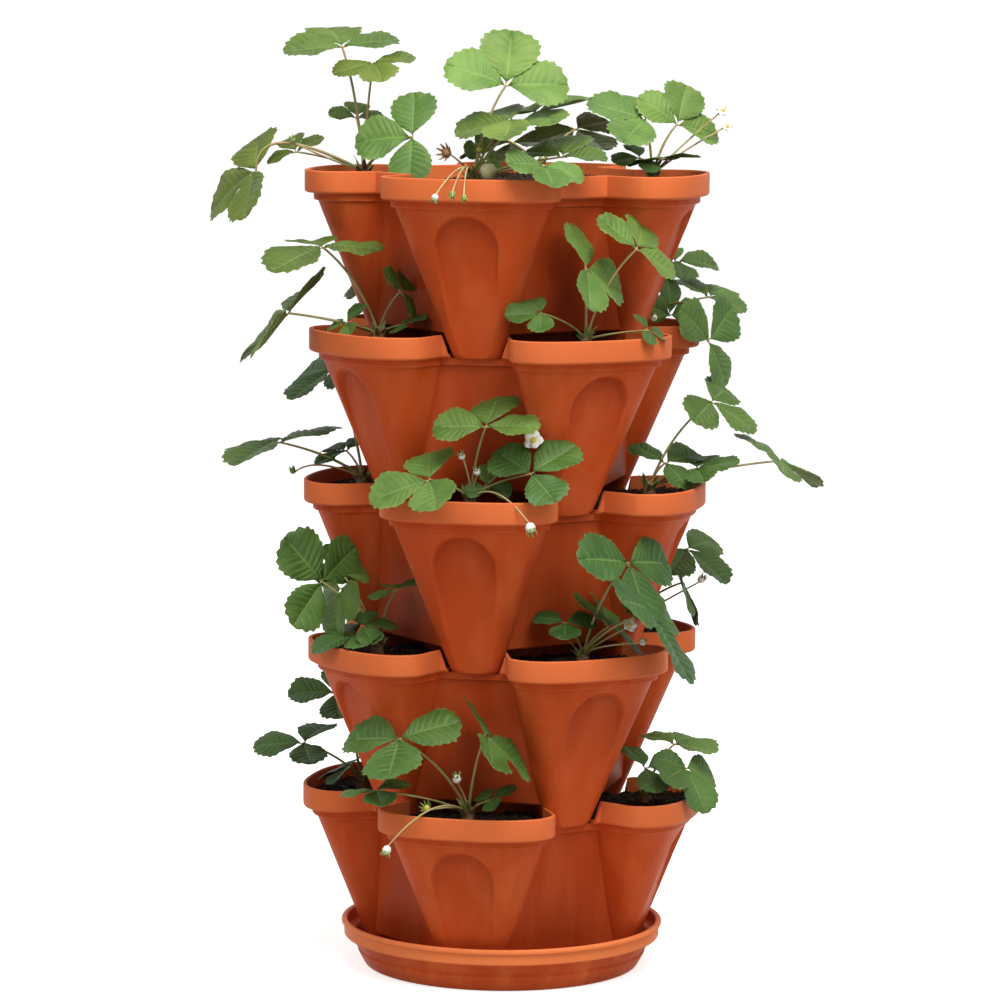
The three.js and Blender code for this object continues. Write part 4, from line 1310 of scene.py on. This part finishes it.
def petal(made, matrix, length, width, lift, pointed):
    """A petal or sepal along x with a little thickness."""
    top, bottom = [], []
    for i in range(PETAL_STEPS + 1):
        t = i / PETAL_STEPS
        half = petal_half(t, width, pointed)
        for side in (-1, 0, 1):
            height = lift * t * t * length + PETAL_CUP * half * abs(side)
            top.append(made.verts.new(matrix @ Vector((t * length, side * half, height))))
            below = Vector((t * length, side * half * PETAL_BACK_SHARE, height - PETAL_SHEET))
            bottom.append(made.verts.new(matrix @ below))
    corners = []
    for a in range(0, PETAL_STEPS * 3, 3):
        for b in (a, a + 1):
            corners.append((top[b], top[b + 3], top[b + 4], top[b + 1]))
            corners.append((bottom[b], bottom[b + 1], bottom[b + 4], bottom[b + 3]))
        corners.append((top[a], bottom[a], bottom[a + 3], top[a + 3]))
        corners.append((top[a + 2], top[a + 5], bottom[a + 5], bottom[a + 2]))
    end = PETAL_STEPS * 3
    for a in (0, 1):
        corners.append((top[a], top[a + 1], bottom[a + 1], bottom[a]))
        corners.append((top[end + a], bottom[end + a], bottom[end + a + 1], top[end + a + 1]))
    return [made.faces.new(four) for four in corners]


def blossom(made, kind, matrix, size, rng):
    for count, length, width, lift, pointed, number, tip in BLOSSOM_RINGS[kind]:
        for k in range(count):
            turn = Matrix.Rotation(2 * math.pi * (k + rng.uniform(-RING_UNEVEN, RING_UNEVEN)) / count, 4, "Z")
            tipped = Matrix.Rotation(rng.uniform(-TIP_UNEVEN, TIP_UNEVEN) - tip, 4, "Y")
            mark(petal(made, matrix @ turn @ tipped, length * size, width * size, lift, pointed), number)
    shares, number = {
        "flower": (FLOWER_DOME_SHARES, FLOWER_MIDDLE),
        "bud": (BUD_SHARES, PETAL if size > OPENING_BUD else SEPAL),
        "fruit": (FRUIT_SHARES, YOUNG_FRUIT),
        "calyx": (CALYX_MIDDLE_SHARES, FLOWER_MIDDLE),
        "withered": (CALYX_MIDDLE_SHARES, DRY_SHEATH),
    }[kind]
    outline = [(radius * size, height * size) for radius, height in shares]
    mark(round_body(made, matrix, outline, FRUIT_SIDES if kind == "fruit" else BODY_SIDES), number)


def crown_mesh(made, rng):
    """The short thick crown, wrapped in pointed sheaths."""
    base = Matrix.Translation((CROWN_REACH, 0, SOIL_LEVEL))
    mark(round_body(made, base, CROWN_OUTLINE, CROWN_SIDES), DRY_SHEATH)
    for k in range(SHEATHS):
        turn = Matrix.Rotation(SHEATH_TURN * k + rng.uniform(-SHEATH_TURN_UNEVEN, SHEATH_TURN_UNEVEN), 4, "Z")
        low = Matrix.Translation((SHEATH_REACH, 0, SHEATH_FOOT + SHEATH_RISE * k))
        local = base @ turn @ low @ Matrix.Rotation(-rng.uniform(*SHEATH_LEAN), 4, "Y")
        faces = petal(made, local, rng.uniform(*SHEATH_LENGTH), SHEATH_WIDTH, SHEATH_LIFT, True)
        mark(faces, SEPAL if k % 3 else DRY_SHEATH)


def make_plant(key, small_finishes, blade_tree, stem_tree, rng):
    body = f"tier_{key[0]}"
    matrix = tier_matrix(int(key[0]), LETTERS.index(key[2]))
    leaves = make_leaves(key, matrix, blade_tree, rng)
    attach(leaves, body)
    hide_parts(f"plant_tier_{key}")
    lines = [line for row in LEAVES[key] for line in leaf_stalks(row)]
    made = bmesh.new()
    crown_mesh(made, rng)
    for kind, out, side, rise, size, *numbers in BLOSSOMS.get(key, ()):
        place, look = plant_place(out, side, rise), Vector(numbers[:3]).normalized()
        local = Matrix.Translation(place) @ look.to_track_quat("Z", "Y").to_matrix().to_4x4()
        blossom(made, kind, local, size, rng)
        bend = plant_place(*numbers[3:])
        bend.z += LOW_BEND if rise < LOW_BLOSSOM else HIGH_BEND
        line = stalk_line(crown_point(), bend, place - look * size * BLOSSOM_STALK_SHARE)
        lines.append((line, *BLOSSOM_STALK))
    mesh = bpy.data.meshes.new(f"crown_and_blossom_{key}")
    made.transform(matrix)
    made.to_mesh(mesh)
    made.free()
    bits = new_object(f"crown_and_blossom_{key}", mesh, *small_finishes)
    stalks = make_stalks(f"leaf_stalks_{key}", lines, matrix, stem_tree)
    for piece in (bits, stalks):
        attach(piece, body)


# Finishes: places and depths are in metres here

# Each pair: the plastic's own colour and a paler tone for flow marks, rubbed edges and the rim band, where
# the paler tone is partly painted highlight
POT_COLOURS = (0.58, 0.08, 0.014, 1), (0.72, 0.175, 0.055, 1)
SAUCER_COLOURS = (0.6, 0.09, 0.018, 1), (0.9, 0.26, 0.085, 1)
DISC_COLOURS = (0.42, 0.085, 0.028, 1), (0.6, 0.18, 0.08, 1)
CLOUD_SHADE = 0.84
# Painted shade, multiplied into the top of each arched recess
ARCH_PAINTED_SHADE = (0.62, 0.5, 0.44, 1)
SPLASHED_MIX = (0.035, 0.012, 0.007, 1)
SPLASH_HEIGHT = 0.17
# Painted shade on the walls between the lobes starts at this distance from the axis and is full at the
# smaller one
WEB_PAINTED_SHADE = (0.52, 0.4, 0.34, 1)
WEB_SHADE_FULL, WEB_SHADE_START = 0.086, 0.1
MIX_COLOURS = (0.012, 0.008, 0.006, 1), (0.035, 0.022, 0.014, 1)
BARK_CRUMB_COLOURS = (0.018, 0.011, 0.008, 1), (0.075, 0.042, 0.024, 1)
PALE_CRUMB_COLOURS = (0.05, 0.035, 0.024, 1), (0.16, 0.12, 0.085, 1)
# Leaf colours run from deep to pale
LEAF_GREENS = (0.017, 0.066, 0.01, 1), (0.14, 0.27, 0.06, 1)
LEAF_YELLOWS = (0.06, 0.1, 0.008, 1), (0.19, 0.22, 0.03, 1)
LEAF_UNDERSIDES = (0.1, 0.17, 0.04, 1), (0.25, 0.36, 0.11, 1)
LEAF_PATCHES = (0.6, 0.68, 0.5, 1), (1.2, 1.14, 1.1, 1)
VEIN = (0.24, 0.4, 0.11, 1)
STALK_GREENS = (0.2, 0.24, 0.06, 1), (0.45, 0.4, 0.17, 1)
STALK_RED = (0.36, 0.15, 0.06, 1)


def new_finish(name, roughness=0.5):
    material = bpy.data.materials.new(name)
    material.use_nodes = True
    tree = material.node_tree
    tree.nodes.clear()
    surface = put(tree, "ShaderNodeBsdfPrincipled", {"Roughness": roughness})
    put(tree, "ShaderNodeOutputMaterial", {"Surface": surface.outputs[0]})
    return material, tree, surface


def object_place(tree, scale=(1, 1, 1)):
    place = put(tree, "ShaderNodeTexCoord").outputs["Object"]
    return put(tree, "ShaderNodeMapping", {"Vector": place, "Scale": scale}).outputs[0]


def carried(tree, name):
    """A number that the mesh stores for each point."""
    return put(tree, "ShaderNodeAttribute", attribute_name=name).outputs["Fac"]


def noise(tree, place, scale, detail, roughness=0.55):
    settings = {"Vector": place, "Scale": scale, "Detail": detail, "Roughness": roughness}
    return put(tree, "ShaderNodeTexNoise", settings).outputs["Fac"]


def between(tree, value, low, high, out_low=0.0, out_high=1.0):
    """value from low..high to out_low..out_high, held at the ends."""
    settings = {"Value": value, "From Min": low, "From Max": high, "To Min": out_low, "To Max": out_high}
    return put(tree, "ShaderNodeMapRange", settings).outputs[0]


def tint(tree, share, first, second, blend="MIX"):
    node = put(tree, "ShaderNodeMix", {0: share, 6: first, 7: second}, data_type="RGBA", blend_type=blend)
    return node.outputs[2]


def bumped(tree, surface, height, distance, strength):
    bump = put(tree, "ShaderNodeBump", {"Height": height, "Distance": distance, "Strength": strength})
    tree.links.new(bump.outputs[0], surface.inputs["Normal"])


def low_splashes(tree, place, share):
    """Specks of the mix, most of them low on the tower."""
    height = put(tree, "ShaderNodeSeparateXYZ", {0: place}).outputs["Z"]
    low_down = between(tree, height, 0.0, SPLASH_HEIGHT, share, 0.0)
    patches = between(tree, noise(tree, place, scale=24, detail=2), 0.45, 0.7)
    specks = between(tree, noise(tree, place, scale=260, detail=5, roughness=0.7), 0.63, 0.7)
    return worked(tree, "MULTIPLY", specks, worked(tree, "MULTIPLY", low_down, patches))


def terracotta_plastic(name, colours, splashed):
    """Moulded plastic with faint flow marks, a paler rim that is partly wear and partly painted highlight,
    rubbed edges, painted shade in the arched recesses and between the lobes, and splashes of the mix.
    """
    colour, paler_tone = colours
    material, tree, surface = new_finish(name)
    place = object_place(tree)
    streaks = noise(tree, object_place(tree, (1, 1, 0.16)), scale=46, detail=4)
    clouds = noise(tree, place, scale=11, detail=3)
    shaded = (*(part * CLOUD_SHADE for part in colour[:3]), 1)
    base = tint(tree, between(tree, clouds, 0.35, 0.68), colour, shaded)
    base = tint(tree, between(tree, streaks, 0.42, 0.72, 0, 0.4), base, paler_tone)
    # Paler rim band: partly wear, partly painted highlight for the light the rims catch
    base = tint(tree, between(tree, carried(tree, "above_rim_step"), -0.5, 1.5, 0, 0.8), base, paler_tone)
    # Painted shade in the top of each arched recess
    base = tint(tree, between(tree, carried(tree, "under_arch"), 0, 1, 0, 0.8), base, ARCH_PAINTED_SHADE, "MULTIPLY")
    edges = between(tree, put(tree, "ShaderNodeNewGeometry").outputs["Pointiness"], 0.52, 0.6)
    scuffs = between(tree, noise(tree, place, scale=90, detail=4), 0.44, 0.66)
    base = tint(tree, worked(tree, "MULTIPLY", edges, scuffs), base, paler_tone)
    base = tint(tree, low_splashes(tree, place, splashed), base, SPLASHED_MIX)
    # Painted shade on the walls between the lobes, darker nearer the axis
    level = put(tree, "ShaderNodeVectorMath", {0: place, 1: (1, 1, 0)}, operation="MULTIPLY").outputs[0]
    reach = put(tree, "ShaderNodeVectorMath", {0: level}, operation="LENGTH").outputs["Value"]
    base = tint(tree, between(tree, reach, WEB_SHADE_FULL, WEB_SHADE_START, 0.7, 0), base, WEB_PAINTED_SHADE, "MULTIPLY")
    tree.links.new(base, surface.inputs["Base Color"])
    tree.links.new(between(tree, clouds, 0.3, 0.7, 0.46, 0.6), surface.inputs["Roughness"])
    surface.inputs["Specular IOR Level"].default_value = 0.1
    fine, coarse = noise(tree, place, scale=900, detail=2), noise(tree, place, scale=130, detail=3)
    bumped(tree, surface, worked(tree, "ADD", fine, coarse), distance=0.00022, strength=0.35)
    return material


def mix_finish(name, colours, scale):
    material, tree, surface = new_finish(name, roughness=0.9)
    flecks = noise(tree, object_place(tree), scale, detail=6, roughness=0.7)
    tree.links.new(tint(tree, between(tree, flecks, 0.42, 0.7), *colours), surface.inputs["Base Color"])
    surface.inputs["Specular IOR Level"].default_value = 0.25
    bumped(tree, surface, flecks, distance=0.002, strength=0.9)
    return material


def leaf_veins(tree, place):
    """The midrib and the side veins, which sway a little and fade towards the edge."""
    along, beside, _ = put(tree, "ShaderNodeSeparateXYZ", {
        0: put(tree, "ShaderNodeUVMap", uv_map="veins").outputs[0]}).outputs
    sway = between(tree, noise(tree, place, scale=45, detail=2), 0.3, 0.7, -0.35, 0.35)
    count = worked(tree, "ADD", worked(tree, "MULTIPLY", along, float(TEETH)), sway)
    part = worked(tree, "SUBTRACT", worked(tree, "MODULO", count, 1.0), 0.5)
    fading = between(tree, beside, 0.3, 0.95, 0.5, 0.1)
    side_veins = between(tree, worked(tree, "ABSOLUTE", part), 0.02, 0.13, 1, 0)
    midrib = between(tree, beside, 0.015, 0.06, 0.8, 0)
    return worked(tree, "MAXIMUM", worked(tree, "MULTIPLY", side_veins, fading), midrib)


def leaf_finish():
    """Paleness and yellowness come with each leaf, and the veins from the leaflet's own map."""
    material, tree, surface = new_finish("strawberry_leaf")
    place = object_place(tree)
    pale = between(tree, carried(tree, "pale"), 0.2, 0.9)
    green, yellowed = tint(tree, pale, *LEAF_GREENS), tint(tree, pale, *LEAF_YELLOWS)
    base = tint(tree, carried(tree, "yellow"), green, yellowed)
    patches = between(tree, noise(tree, place, scale=34, detail=3), 0.34, 0.68)
    base = tint(tree, 1.0, base, tint(tree, patches, *LEAF_PATCHES), "MULTIPLY")
    veins = leaf_veins(tree, place)
    base = tint(tree, worked(tree, "MULTIPLY", veins, 0.45), base, VEIN)
    under = worked(tree, "MULTIPLY", carried(tree, "under"), 0.7)
    base = tint(tree, under, base, tint(tree, pale, *LEAF_UNDERSIDES))
    tree.links.new(base, surface.inputs["Base Color"])
    tree.links.new(between(tree, patches, 0, 1, 0.45, 0.62), surface.inputs["Roughness"])
    surface.inputs["Specular IOR Level"].default_value = 0.3
    pores = noise(tree, place, scale=700, detail=3)
    relief = worked(tree, "ADD", pores, worked(tree, "MULTIPLY", veins, -1.2))
    bumped(tree, surface, relief, distance=0.0004, strength=0.55)
    return material


def stalk_finish():
    material, tree, surface = new_finish("leaf_stalk")
    place = object_place(tree)
    base = tint(tree, between(tree, carried(tree, "pale"), 0.3, 0.8), *STALK_GREENS)
    flush = between(tree, noise(tree, place, scale=60, detail=3), 0.42, 0.7, 0, 0.7)
    tree.links.new(tint(tree, flush, base, STALK_RED), surface.inputs["Base Color"])
    bumped(tree, surface, noise(tree, place, scale=800, detail=2), distance=0.0003, strength=0.4)
    return material


def small_finish(name, first, second, roughness, scale=220):
    material, tree, surface = new_finish(name, roughness)
    mottle = noise(tree, object_place(tree), scale, detail=4)
    tree.links.new(tint(tree, between(tree, mottle, 0.38, 0.66), first, second), surface.inputs["Base Color"])
    bumped(tree, surface, mottle, distance=0.0004, strength=0.4)
    return material


# Everything together

set_up_camera()
set_up_light()
lay_floor()

make_pots(terracotta_plastic("terracotta_plastic", POT_COLOURS, splashed=0.9))
make_saucer(terracotta_plastic("saucer_plastic", SAUCER_COLOURS, splashed=0.5))
disc_plastic = terracotta_plastic("disc_plastic", DISC_COLOURS, splashed=0.5)
for tier in range(1, TIERS + 1):
    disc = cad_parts[f"drain_disc_tier_{tier}"]
    disc.data.materials.clear()
    disc.data.materials.append(disc_plastic)

dark_mix = mix_finish("potting_mix", MIX_COLOURS, 420)
crumb_finishes = (
    mix_finish("bark_crumbs", BARK_CRUMB_COLOURS, 500),
    mix_finish("pale_crumbs", PALE_CRUMB_COLOURS, 500),
)
crumbs = [crumb_pattern(name, seed) for name, seed, *_ in CRUMBS]
crumb_trees = [scatter_tree(crumb, finish, *kind[2:])
               for crumb, finish, kind in zip(crumbs, crumb_finishes, CRUMBS)]
for tier in range(1, TIERS + 1):
    make_mix(tier, dark_mix, crumb_trees)
for crumb in crumbs:
    bpy.data.objects.remove(crumb)

leaflet = leaflet_pattern()
blade_tree = leaf_tree(leaflet, leaf_finish())
stem_tree = stalk_tree(stalk_finish())
small_finishes = (
    small_finish("sepal", (0.12, 0.24, 0.05, 1), (0.3, 0.36, 0.1, 1), 0.6),
    small_finish("petal", (0.82, 0.82, 0.76, 1), (0.9, 0.9, 0.86, 1), 0.55),
    small_finish("flower_middle", (0.6, 0.45, 0.06, 1), (0.72, 0.6, 0.14, 1), 0.6, 900),
    small_finish("young_fruit", (0.5, 0.48, 0.2, 1), (0.62, 0.58, 0.34, 1), 0.45, 700),
    small_finish("dry_sheath", (0.16, 0.08, 0.03, 1), (0.34, 0.2, 0.09, 1), 0.8, 300),
)
rng = np.random.default_rng(41)
for key in LEAVES:
    make_plant(key, small_finishes, blade_tree, stem_tree, rng)
bpy.data.objects.remove(leaflet)

bpy.context.scene.view_settings.view_transform = "Standard"
